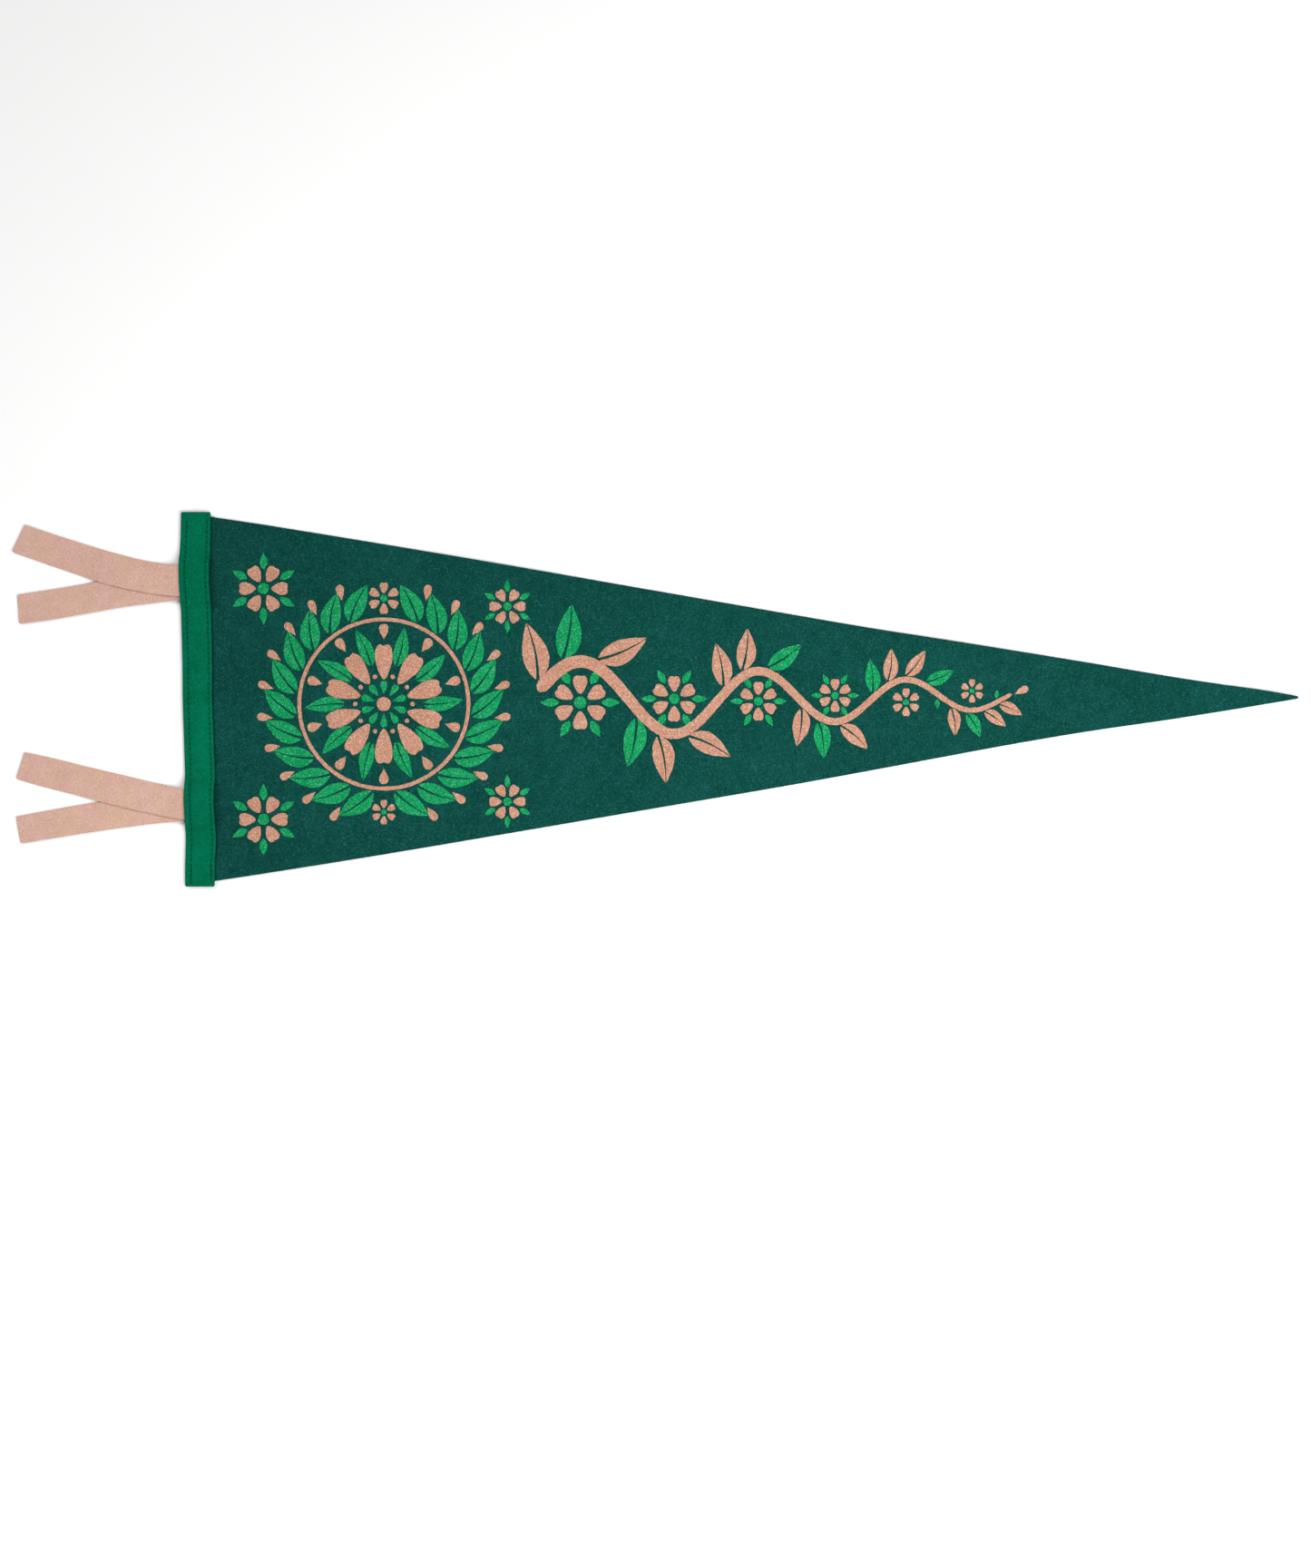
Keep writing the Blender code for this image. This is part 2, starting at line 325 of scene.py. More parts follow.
class Painter:
    """Writes one material's nodes."""

    def __init__(self, name: str) -> None:
        """Starts a material with a Principled shader."""
        self.material = bpy.data.materials.new(name)
        self.material.use_nodes = True
        self.nodes = self.material.node_tree.nodes
        self.links = self.material.node_tree.links
        self.shader = self.nodes["Principled BSDF"]
        texture_place = self.node("ShaderNodeTexCoord", {}, {})
        self.place = Signal(self, texture_place.outputs["Object"])

    def node(self, kind: str, settings: dict[str, object], sockets: dict[object, object]) -> bpy.types.Node:
        """Adds a node.

        Args:
            kind: The node's type.
            settings: Its own settings, which are set first.
            sockets: The value, or the signal, of each input by name or number.

        Returns:
            The node.
        """
        made = self.nodes.new(kind)
        for key, value in settings.items():
            setattr(made, key, value)
        self.fill(made, sockets)
        return made

    def fill(self, made: bpy.types.Node, sockets: dict[object, object]) -> None:
        """Sets or links a node's inputs, by name or number."""
        for key, value in sockets.items():
            if isinstance(value, Signal):
                self.links.new(value.socket, made.inputs[key])
            else:
                made.inputs[key].default_value = value

    def noise(self, size: float, detail: float = 2.0, roughness: float = 0.5,
              stretch: tuple[float, float, float] = (1.0, 1.0, 1.0), turn: float = 0.0,
              curl: float = 0.0) -> Signal:
        """Noise with features of about a size in millimetres.

        Args:
            size: The features' size.
            detail: How many finer layers are added.
            roughness: How strong the finer layers are.
            stretch: How much longer the features are along each axis.
            turn: How far the stretched pattern is turned about Z, in degrees.
            curl: How much the features are bent.

        Returns:
            The noise, from 0 to 1 and mostly near the middle.
        """
        mapped = self.node("ShaderNodeMapping", {"vector_type": "TEXTURE"}, {
            "Vector": self.place,
            "Rotation": (0.0, 0.0, math.radians(turn)),
            "Scale": stretch,
        })
        made = self.node("ShaderNodeTexNoise", {}, {
            "Vector": Signal(self, mapped.outputs[0]),
            "Scale": 1.0 / (size * MM),
            "Detail": detail,
            "Roughness": roughness,
            "Distortion": curl,
        })
        return Signal(self, made.outputs[0])

    def grains(self, size: float) -> Signal:
        """A different random value in each small cell of about a size in millimetres."""
        made = self.node("ShaderNodeTexVoronoi", {"feature": "F1"}, {
            "Vector": self.place,
            "Scale": 1.0 / (size * MM),
        })
        parts = self.node("ShaderNodeSeparateColor", {}, {0: Signal(self, made.outputs["Color"])})
        return Signal(self, parts.outputs[0])

    def beyond_edge(self, edge: Sequence[tuple[float, float]]) -> Signal:
        """Distance along X beyond a wandering edge.

        Args:
            edge: The edge's places as pairs of y and x, in rising order of y, in millimetres.

        Returns:
            The distance in millimetres, below zero on the near side.
        """
        parts = self.node("ShaderNodeSeparateXYZ", {}, {0: self.place})
        x, y = (Signal(self, parts.outputs[i]) * (1.0 / MM) for i in (0, 1))
        low, high = edge[0][0], edge[-1][0]
        least, most = min(row[1] for row in edge), max(row[1] for row in edge)
        made = self.nodes.new("ShaderNodeFloatCurve")
        curve = made.mapping.curves[0]
        for number, row in enumerate(edge):
            place = ((row[0] - low) / (high - low), (row[1] - least) / (most - least))
            if 0 < number < len(edge) - 1:
                curve.points.new(*place)
            else:
                curve.points[-1 if number else 0].location = place
        made.mapping.update()
        self.fill(made, {"Value": (y - low) * (1.0 / (high - low))})
        return x - (Signal(self, made.outputs[0]) * (most - least) + least)

    def mix(self, first: Color | Signal, second: Color | Signal, share: Signal) -> Signal:
        """A colour between two others."""
        made = self.node("ShaderNodeMix", {"data_type": "RGBA"}, {"Factor": share})
        for key, value in (("A", first), ("B", second)):
            socket = [s for s in made.inputs if s.name == key and s.type == "RGBA"][0]
            if isinstance(value, Signal):
                self.links.new(value.socket, socket)
            else:
                socket.default_value = (*value, 1.0)
        output = [s for s in made.outputs if s.type == "RGBA"][0]
        return Signal(self, output)

    def bump(self, height: Signal, depth: float, strength: float) -> None:
        """Raises the surface by a height from 0 to 1, over a depth in millimetres."""
        made = self.node("ShaderNodeBump", {}, {
            "Height": height,
            "Distance": depth * MM,
            "Strength": strength,
        })
        self.fill(self.shader, {"Normal": Signal(self, made.outputs[0])})


@dataclass(frozen=True)
class FeltFinish:
    """Pressed wool felt: mottled and grainy, with short pale and dark fibres in its face."""

    name: str
    base: Color
    dark: Color
    pale: Color
    fibre: Color
    patch: Color
    fibre_share: float = 0.5
    mottle: float = 1.1
    grain: float = 1.7
    nep: Color | None = None
    nep_share: float = 0.7
    sheen: float = 0.10
    sheen_tint: Color = (0.05, 0.30, 0.25)
    shade_width: float = 1.5
    shade: float = 0.62
    broad_size: float = 55.0
    cloud_size: float = 9.0
    patch_size: float = 13.0
    grain_size: float = 1.0
    fine_size: float = 0.45
    nep_size: float = 0.8
    fibre_size: float = 0.46
    fibre_stretch: tuple[float, float, float] = (4.2, 1.0, 1.0)
    fibre_turns: tuple[float, ...] = (18.0, 77.0, -41.0)
    fibre_curl: float = 0.9
    relief_depth: float = 0.55
    relief_strength: float = 0.55

    def make(self, seam: Sequence[tuple[float, float]] = ()) -> bpy.types.Material:
        """The felt's material.

        Args:
            seam: A sewn edge, as pairs of y and x, beside which a painted shade darkens the felt, standing in
                for the band's cast shadow and the shade in the crevice at its edge.

        Returns:
            The material.
        """
        painter = Painter(self.name)
        broad = painter.noise(self.broad_size, 2.0)
        cloudy = painter.noise(self.cloud_size, 3.0, 0.6)
        grain = painter.noise(self.grain_size, 3.0, 0.72)
        fine = painter.noise(self.fine_size, 2.0, 0.6)
        patches = painter.noise(self.patch_size, 3.0, 0.65, (1.0, 1.6, 1.0)).above(0.5, 0.26)
        base = painter.mix(self.base, self.patch, patches)
        tone = (broad - 0.5) * (0.5 * self.mottle) + (cloudy - 0.5) * (0.7 * self.mottle)
        tone = tone + (grain - 0.5) * self.grain + (fine - 0.5) * (0.5 * self.grain)
        color = painter.mix(base, self.pale, tone.clamped())
        color = painter.mix(color, self.dark, (tone * -1.0).clamped())
        fibres = self.fibres(painter)
        color = painter.mix(color, self.fibre, fibres * self.fibre_share)
        if self.nep:
            neps = painter.noise(self.nep_size, 1.0, 0.5, (1.6, 1.0, 1.0), 30.0).above(0.745, 0.05)
            color = painter.mix(color, self.nep, neps * self.nep_share)
        # Painted shade: a narrow strip of felt just beyond the band's inner edge is mixed towards the dark
        # colour, standing in for the band's cast shadow and crevice shade.
        if seam:
            beside = painter.beyond_edge(seam)
            painted_shade = (1.0 - beside * (1.0 / self.shade_width)).clamped() * beside.above(-0.8, 0.6)
            color = painter.mix(color, self.dark, painted_shade * self.shade)
        painter.fill(painter.shader, {
            "Base Color": color,
            "Roughness": 0.95,
            "Sheen Weight": self.sheen,
            "Sheen Roughness": 0.5,
            "Sheen Tint": (*self.sheen_tint, 1.0),
            "Specular IOR Level": 0.02,
        })
        relief = grain * 0.55 + fine * 0.3 + cloudy * 0.35 + fibres * 0.25
        painter.bump(relief, self.relief_depth, self.relief_strength)
        return painter.material

    def fibres(self, painter: Painter) -> Signal:
        """Short fibres lying three ways over the face, as a mask from 0 to 1."""
        total: Signal | None = None
        for turn in self.fibre_turns:
            lying = painter.noise(self.fibre_size, 1.0, 0.5, self.fibre_stretch, turn, self.fibre_curl)
            shown = lying.above(0.675, 0.09)
            total = shown if total is None else total + shown
        return total.clamped()


@dataclass(frozen=True)
class PrintFinish:
    """A soft raised print: fine grains of several near tones, with bright specks."""

    name: str
    base: Color
    other: Color
    dark: Color
    pale: Color
    speck: Color
    bare: Color
    speck_share: float = 0.10
    contrast: float = 1.0
    grain_size: float = 0.42
    patch_size: float = 0.85
    uneven_size: float = 0.85
    cloud_size: float = 14.0
    speck_size: float = 0.46
    pinhole_size: float = 0.75
    relief_depth: float = 0.3

    def make(self) -> bpy.types.Material:
        """The print's material."""
        painter = Painter(self.name)
        small = painter.grains(self.grain_size)
        uneven = painter.noise(self.uneven_size, 3.0, 0.7)
        cloudy = painter.noise(self.cloud_size, 3.0, 0.6)
        base = painter.mix(self.base, self.other, painter.grains(self.patch_size))
        tone = (small - 0.5) * (0.9 * self.contrast) + (uneven - 0.5) * (2.2 * self.contrast)
        tone = tone + (cloudy - 0.5) * 0.7
        color = painter.mix(base, self.pale, tone.clamped())
        color = painter.mix(color, self.dark, (tone * -1.0).clamped())
        specks = painter.grains(self.speck_size).above(1.0 - self.speck_share, 0.02)
        color = painter.mix(color, self.speck, specks * 0.8)
        pinholes = painter.noise(self.pinhole_size, 1.0, curl=1.2).above(0.70, 0.05)
        color = painter.mix(color, self.bare, pinholes * 0.6)
        painter.fill(painter.shader, {
            "Base Color": color,
            "Roughness": 0.8,
            "Specular IOR Level": 0.05,
        })
        painter.bump(small * 0.3 + uneven * 0.9 - pinholes * 0.5, self.relief_depth, 0.5)
        return painter.material


@dataclass(frozen=True)
class ThreadFinish:
    """Spun sewing thread, with its twist as a fine ridge."""

    name: str
    base: Color
    pale: Color
    twist_size: float = 0.22
    twist_turn: float = 35.0
    ridge: float = 0.08

    def make(self) -> bpy.types.Material:
        """The thread's material."""
        painter = Painter(self.name)
        twist = painter.noise(self.twist_size, 1.0, 0.5, (3.0, 1.0, 1.0), self.twist_turn)
        painter.fill(painter.shader, {
            "Base Color": painter.mix(self.base, self.pale, twist),
            "Roughness": 0.7,
            "Specular IOR Level": 0.10,
        })
        painter.bump(twist, self.ridge, 0.6)
        return painter.material


@dataclass(frozen=True)
class FloorFinish:
    """The plain pale surface that the pennant lies on."""

    name: str
    base: Color
    pale: Color
    cloud_size: float = 90.0

    def make(self) -> bpy.types.Material:
        """The floor's material."""
        painter = Painter(self.name)
        painter.fill(painter.shader, {
            "Base Color": painter.mix(self.base, self.pale, painter.noise(self.cloud_size, 3.0)),
            "Roughness": 0.9,
            "Specular IOR Level": 0.15,
        })
        return painter.material


BODY_FELT = FeltFinish(
    "body_felt_green",
    base=(0.0020, 0.0435, 0.0340),
    patch=(0.0024, 0.0470, 0.0380),
    dark=(0.0003, 0.0170, 0.0135),
    pale=(0.0085, 0.0960, 0.0800),
    fibre=(0.0240, 0.1450, 0.1240),
    fibre_share=0.55,
    grain=2.6,
)
BAND_FELT = FeltFinish(
    "band_felt_green",
    base=(0.0001, 0.110, 0.051),
    patch=(0.0002, 0.120, 0.057),
    dark=(0.0001, 0.055, 0.026),
    pale=(0.0006, 0.190, 0.095),
    fibre=(0.0060, 0.260, 0.145),
    fibre_share=0.40,
    mottle=1.3,
    grain=2.0,
    sheen_tint=(0.01, 0.25, 0.12),
)
TIE_FELT = FeltFinish(
    "tie_felt_peach",
    base=(0.570, 0.358, 0.262),
    patch=(0.580, 0.340, 0.292),
    dark=(0.370, 0.205, 0.155),
    pale=(0.730, 0.530, 0.430),
    fibre=(0.800, 0.640, 0.540),
    fibre_share=0.45,
    mottle=0.9,
    grain=1.9,
    nep=(0.300, 0.160, 0.120),
    sheen_tint=(0.80, 0.60, 0.50),
)
PEACH_PRINT = PrintFinish(
    "print_peach",
    base=(0.445, 0.204, 0.112),
    other=(0.410, 0.205, 0.155),
    dark=(0.270, 0.105, 0.055),
    pale=(0.620, 0.365, 0.265),
    speck=(0.660, 0.480, 0.400),
    bare=(0.100, 0.085, 0.060),
    speck_share=0.09,
    contrast=1.15,
)
GREEN_PRINT = PrintFinish(
    "print_green",
    base=(0.0010, 0.240, 0.058),
    other=(0.0030, 0.222, 0.074),
    dark=(0.0004, 0.115, 0.034),
    pale=(0.0120, 0.375, 0.140),
    speck=(0.100, 0.420, 0.230),
    bare=(0.0020, 0.060, 0.045),
    contrast=1.15,
)
SEAM_THREAD = ThreadFinish("seam_thread_green", (0.0002, 0.014, 0.009), (0.0010, 0.034, 0.021))
PALE_FLOOR = FloorFinish("pale_floor", (0.92, 0.92, 0.915), (0.94, 0.94, 0.935))


def dress(piece: bpy.types.Object, material: bpy.types.Material) -> None:
    """Puts one material on the whole of a piece."""
    piece.data.materials.clear()
    piece.data.materials.append(material)


# The pennant's parts

@dataclass
class PennantCloth:
    """The long felt triangle, which lies on the surface with a few low rises."""

    hoist_x: float = -8.2
    hoist_lean: float = 0.0125
    hoist_half: float = 115.0
    point_x: float = 676.2
    point_y: float = 0.5
    point_rounding: float = 0.9
    thick: float = 1.2
    edge_round: float = 0.34
    halvings: int = 7
    edge_steps: tuple[float, ...] = (0.0, 0.10, 0.34)
    point_steps: tuple[float, ...] = (0.0, 0.25, 0.7, 1.6, 3.4, 6.4, 10.6)
    narrow_share: float = 0.3
    back_share: float = 0.7
    area_sections: int = 400
    wander: tuple[EdgeRow, ...] = (
        EdgeRow(0, -0.6, -0.6),
        EdgeRow(25, 0.1, -0.1),
        EdgeRow(110, 0.8, 0.9),
        EdgeRow(200, 0.7, 1.0),
        EdgeRow(290, 0.1, 0.8),
        EdgeRow(380, -0.5, 0.6),
        EdgeRow(424, -0.7, 0.0),
        EdgeRow(468, -0.2, -0.8),
        EdgeRow(513, 0.2, -1.5),
        EdgeRow(558, 0.4, -1.4),
        EdgeRow(602, 0.3, -0.3),
        EdgeRow(636, 0.7, 0.1),
        EdgeRow(660, 1.4, 0.2),
        EdgeRow(686, 1.2, 0.2),
    )
    rises: tuple[RiseRow, ...] = (
        RiseRow(690, 0, 82, 40, 2.6),
        RiseRow(205, 96, 100, 34, 1.7),
        RiseRow(300, -74, 84, 30, 1.5),
        RiseRow(452, 34, 96, 24, 1.3),
        RiseRow(520, -36, 78, 26, 1.9),
    )
    ripples: tuple[Ripple, ...] = (
        Ripple(61, 143, 0.4, 0.05),
        Ripple(-38, 52, 2.1, 0.04),
        Ripple(21, 33, 4.0, 0.03),
        Ripple(-13, 19, 1.2, 0.02),
    )

    def hoist(self, y: np.ndarray | float) -> np.ndarray:
        """The straight cut edge under the band, at each y."""
        return self.hoist_x - self.hoist_lean * np.asarray(y, float)

    def long_edges(self, x: np.ndarray) -> tuple[np.ndarray, np.ndarray]:
        """The upper and lower long cuts at each x, drawn together at the round point."""
        along = x - self.hoist_x
        share = along / (self.point_x - self.hoist_x)
        upper = self.hoist_half + (self.point_y - self.hoist_half) * share
        upper = upper + SmoothColumn(self.wander, "along", "upper")(along)
        lower = -self.hoist_half + (self.point_y + self.hoist_half) * share
        lower = lower - SmoothColumn(self.wander, "along", "lower")(along)
        middle = (upper + lower) / 2.0
        half = (upper - lower) / 2.0
        from_point = np.clip(self.point_x - x, 0.0, self.point_rounding) / self.point_rounding
        half = half * np.sqrt(1.0 - (1.0 - from_point) ** 2)
        return middle + half, middle - half

    def rise(self, x: np.ndarray, y: np.ndarray) -> np.ndarray:
        """Height of the cloth's back over the surface."""
        height = np.zeros(np.broadcast(x, y).shape)
        for row in self.rises:
            away = np.hypot((x - row.x) / row.reach_x, (y - row.y) / row.reach_y)
            height = height + row.height * (1.0 - ramp(away))
        return height

    def unevenness(self, x: np.ndarray, y: np.ndarray) -> np.ndarray:
        """The slow ripples in the felt's face."""
        total = np.zeros(np.broadcast(x, y).shape)
        for wave in self.ripples:
            turn = 2.0 * math.pi * (x / wave.length_x + y / wave.length_y) + wave.start
            total = total + wave.height * np.sin(turn)
        return total

    def face(self, x: np.ndarray, y: np.ndarray) -> np.ndarray:
        """Height of the cloth's face."""
        return self.rise(x, y) + self.thick + self.unevenness(x, y)

    def build(self) -> bpy.types.Object:
        """The cloth: a triangle subdivided into a lattice, laid out and given its two sides."""
        deselect_all()
        bpy.ops.mesh.primitive_circle_add(vertices=3, radius=1.0, fill_type="NGON")
        piece = take_new("pennant_cloth")
        set_coordinates(piece, np.array([[0.0, 0.0, 0.0], [1.0, 0.0, 0.0], [0.0, 1.0, 0.0]]))
        bpy.ops.object.mode_set(mode="EDIT")
        bpy.ops.mesh.select_all(action="SELECT")
        for _ in range(self.halvings):
            bpy.ops.mesh.subdivide(number_cuts=1)
        bpy.ops.mesh.normals_make_consistent(inside=False)
        bpy.ops.object.mode_set(mode="OBJECT")
        if piece.data.polygons[0].normal.z < 0.0:
            piece.data.flip_normals()
        cells = 2 ** self.halvings
        lattice = np.rint(coordinates(piece)[:, :2] * cells).astype(int)
        face, back = self.laid_out(lattice[:, 0], lattice[:, 1], cells)
        thicken(piece, face, back)
        return piece

    def laid_out(self, column: np.ndarray, row: np.ndarray, cells: int) -> tuple[np.ndarray, np.ndarray]:
        """Places the lattice's points.

        Args:
            column: Each point's column, from 0 at the hoist to cells at the point.
            row: Each point's number in its column, from the lower cut.
            cells: The number of columns less one.

        Returns:
            The points on the face and on the back, in metres.
        """
        length = self.point_x - self.hoist_x
        few = len(self.point_steps)
        even = np.linspace(self.point_steps[-1], length, cells + 2 - few)
        from_point = np.concatenate([self.point_steps[:-1], even])[::-1]
        share = 1.0 - from_point / length
        upper, lower = self.long_edges(self.hoist_x + length * share)
        places = np.zeros((cells + 1, cells + 1))
        for k in range(cells + 1):
            width = upper[k] - lower[k]
            steps = np.minimum(self.edge_steps, width * self.narrow_share)
            if cells - k >= 2 * len(steps):
                places[k, :cells - k + 1] = edged_places(lower[k], upper[k], cells - k, steps)
            else:
                places[k, :cells - k + 1] = np.linspace(lower[k], upper[k], cells - k + 1)
        y = places[column, row]
        x = self.hoist(y) + (self.point_x - self.hoist(y)) * share[column]
        from_edge = np.minimum.reduce([upper[column] - y, y - lower[column], x - self.hoist(y)])
        drawn = rounded(from_edge, self.edge_round)
        face = (x, y, self.face(x, y) - drawn)
        back = (x, y, self.rise(x, y) + drawn * self.back_share)
        return in_metres(face), in_metres(back)

    def flat_area(self) -> float:
        """The cut triangle's area in square metres."""
        x = np.linspace(self.hoist_x, self.point_x, self.area_sections)
        upper, lower = self.long_edges(x)
        return float(np.mean(upper - lower)) * (self.point_x - self.hoist_x) * MM * MM


@dataclass
class TieTail:
    """One free tail of a tie: its run, its width and how far its end is cut off square."""

    rows: tuple[TailRow, ...]
    cut_skew: float
    crease_x: float
    straight_run: float = 9.0
    skew_run: float = 10.0
    corner: float = 1.1
    reach: float = 1.0

    def __post_init__(self) -> None:
        """Prepares the curves of the middle line and the width."""
        self.middle = SmoothColumn(self.rows, "x", "y")
        self.width = SmoothColumn(self.rows, "x", "width")
        self.end_x = self.rows[0].x

    def heading(self, x: np.ndarray) -> np.ndarray:
        """The angle between X and the tail's run, which ends square to the fold."""
        before = np.maximum(x - self.reach, self.end_x)
        after = np.minimum(x + self.reach, self.crease_x)
        slope = (self.middle(after) - self.middle(before)) / (after - before)
        return np.arctan(slope) * ramp((self.crease_x - x) / self.straight_run)

    def edge(self, x: np.ndarray, side: float) -> np.ndarray:
        """The y of the tail's upper (side 1) or lower (side -1) edge at x."""
        return self.middle(x) + side * self.width(x) / 2.0 / np.cos(self.heading(x))

    def plan(self, x: np.ndarray, aside: np.ndarray) -> tuple[np.ndarray, np.ndarray]:
        """Plan places of points that stand aside of the middle line.

        Args:
            x: Where along the tail each point's section crosses the middle line.
            aside: The point's share of the half width, from -1 to 1.

        Returns:
            The x and y of each point.
        """
        heading = self.heading(x)
        from_end = x - self.end_x
        half = self.width(x) / 2.0 - rounded(from_end, self.corner)
        skew = math.tan(math.radians(self.cut_skew)) * (1.0 - ramp(from_end / self.skew_run))
        offset = aside * half
        px = x - offset * np.sin(heading) + offset * skew * np.cos(heading)
        py = self.middle(x) + offset * np.cos(heading) + offset * skew * np.sin(heading)
        return px, py


@dataclass
class FoldedTie:
    """A felt strip folded in two under the band, whose over tail lies on its under tail."""

    name: str
    node: str
    cloth: PennantCloth
    over: TieTail
    under: TieTail
    crease_x: float = 3.0
    thick: float = 1.1
    gap: float = 0.3
    drop_level: float = 1.5
    drop_run: float = 13.0
    spread_level: float = 0.9
    spread_run: float = 8.0
    edge_round: float = 0.32
    along_cells: int = 84
    fold_cells: int = 14
    across_cells: int = 22
    edge_steps: tuple[float, ...] = (0.0, 0.10, 0.32)
    end_steps: tuple[float, ...] = (0.0, 0.10, 0.32, 0.7, 1.2)
    length_sections: int = 200

    def under_height(self, x: np.ndarray, y: np.ndarray) -> np.ndarray:
        """Height of the under tail's back: on the cloth, or down on the surface beyond."""
        beyond = self.cloth.hoist(y) - self.drop_level - x
        return (self.cloth.thick + self.gap) * (1.0 - ramp(beyond / self.drop_run))

    def over_height(self, x: np.ndarray, y: np.ndarray) -> np.ndarray:
        """Height of the over tail's back: on the under tail, or draped down beside it."""
        beside = y - self.under.edge(x, 1.0) - self.spread_level
        drape = (self.thick + self.gap) * (1.0 - ramp(beside / self.spread_run))
        return self.under_height(x, y) + drape

    def tail_middle_surface(self, tail: TieTail, x: np.ndarray, aside: np.ndarray) -> Place:
        """A tail's middle surface, half the felt's thickness over its back."""
        px, py = tail.plan(x, aside)
        back = self.over_height(px, py) if tail is self.over else self.under_height(px, py)
        return px, py, back + self.thick / 2.0

    def sides(self, along: np.ndarray, across: np.ndarray) -> tuple[np.ndarray, np.ndarray]:
        """Both sides of the strip at grid places.

        Args:
            along: The section's number, from the over tail's end round to the under tail's.
            across: The row's number across the strip.

        Returns:
            The points on the outer side and on the inner side, in metres.
        """
        n, folds = self.along_cells, self.fold_cells
        over_x = self.tail_places(self.over)
        under_x = self.tail_places(self.under)[::-1]
        half_width = self.over.rows[-1].width / 2.0
        asides = edged_places(-half_width, half_width, self.across_cells, self.edge_steps)
        aside = (asides / half_width)[across]
        sections = np.concatenate([over_x, np.full(folds - 1, self.crease_x), under_x])
        x = sections[along]
        turn = np.clip((along - n) / folds, 0.0, 1.0) * math.pi
        over_at = np.where(along < n + folds, x, self.crease_x)
        under_at = np.where(along < n + folds, self.crease_x, x)
        ox, oy, oz = self.tail_middle_surface(self.over, over_at, aside)
        ux, uy, uz = self.tail_middle_surface(self.under, under_at, aside)
        radius = (self.gap + self.thick) / 2.0
        folding = (along > n) & (along < n + folds)
        mx = np.where(along <= n, ox, np.where(folding, ox + radius * np.sin(turn), ux))
        my = np.where(along >= n + folds, uy, oy)
        mz = np.where(along <= n, oz, np.where(folding, oz - radius + radius * np.cos(turn), uz))
        from_side = half_width - np.abs(asides[across])
        end = np.where(along <= n, self.over.end_x, self.under.end_x)
        from_edge = np.minimum(from_side, np.where(folding, from_side, x - end))
        half = self.thick / 2.0 - rounded(from_edge, self.edge_round)
        nx, nz = np.sin(turn), np.cos(turn)
        outer = (mx + nx * half, my, mz + nz * half)
        inner = (mx - nx * half, my, mz - nz * half)
        return in_metres(outer), in_metres(inner)

    def tail_places(self, tail: TieTail) -> np.ndarray:
        """Sections of one tail, from its cut end to the crease."""
        steps = np.array(self.end_steps)
        inner = np.linspace(tail.end_x + steps[-1], self.crease_x, self.along_cells + 2 - len(steps))
        return np.concatenate([tail.end_x + steps[:-1], inner])

    def build(self) -> bpy.types.Object:
        """The tie: a grid wrapped along both tails and round the fold."""
        deselect_all()
        along = 2 * self.along_cells + self.fold_cells
        bpy.ops.mesh.primitive_grid_add(
            x_subdivisions=along, y_subdivisions=self.across_cells, size=1.0)
        piece = take_new(self.name)
        share = coordinates(piece)[:, :2] + 0.5
        numbers = np.rint(share * np.array([along, self.across_cells])).astype(int)
        outer, inner = self.sides(numbers[:, 0], numbers[:, 1])
        thicken(piece, outer, inner)
        return piece

    def flat_length(self) -> float:
        """The strip's length when it is unfolded, in millimetres."""
        total = math.pi * (self.gap + self.thick) / 2.0
        for tail in (self.over, self.under):
            x = np.linspace(tail.end_x, self.crease_x, self.length_sections)
            total += float(np.sum(np.hypot(np.diff(x), np.diff(tail.middle(x)))))
        return total


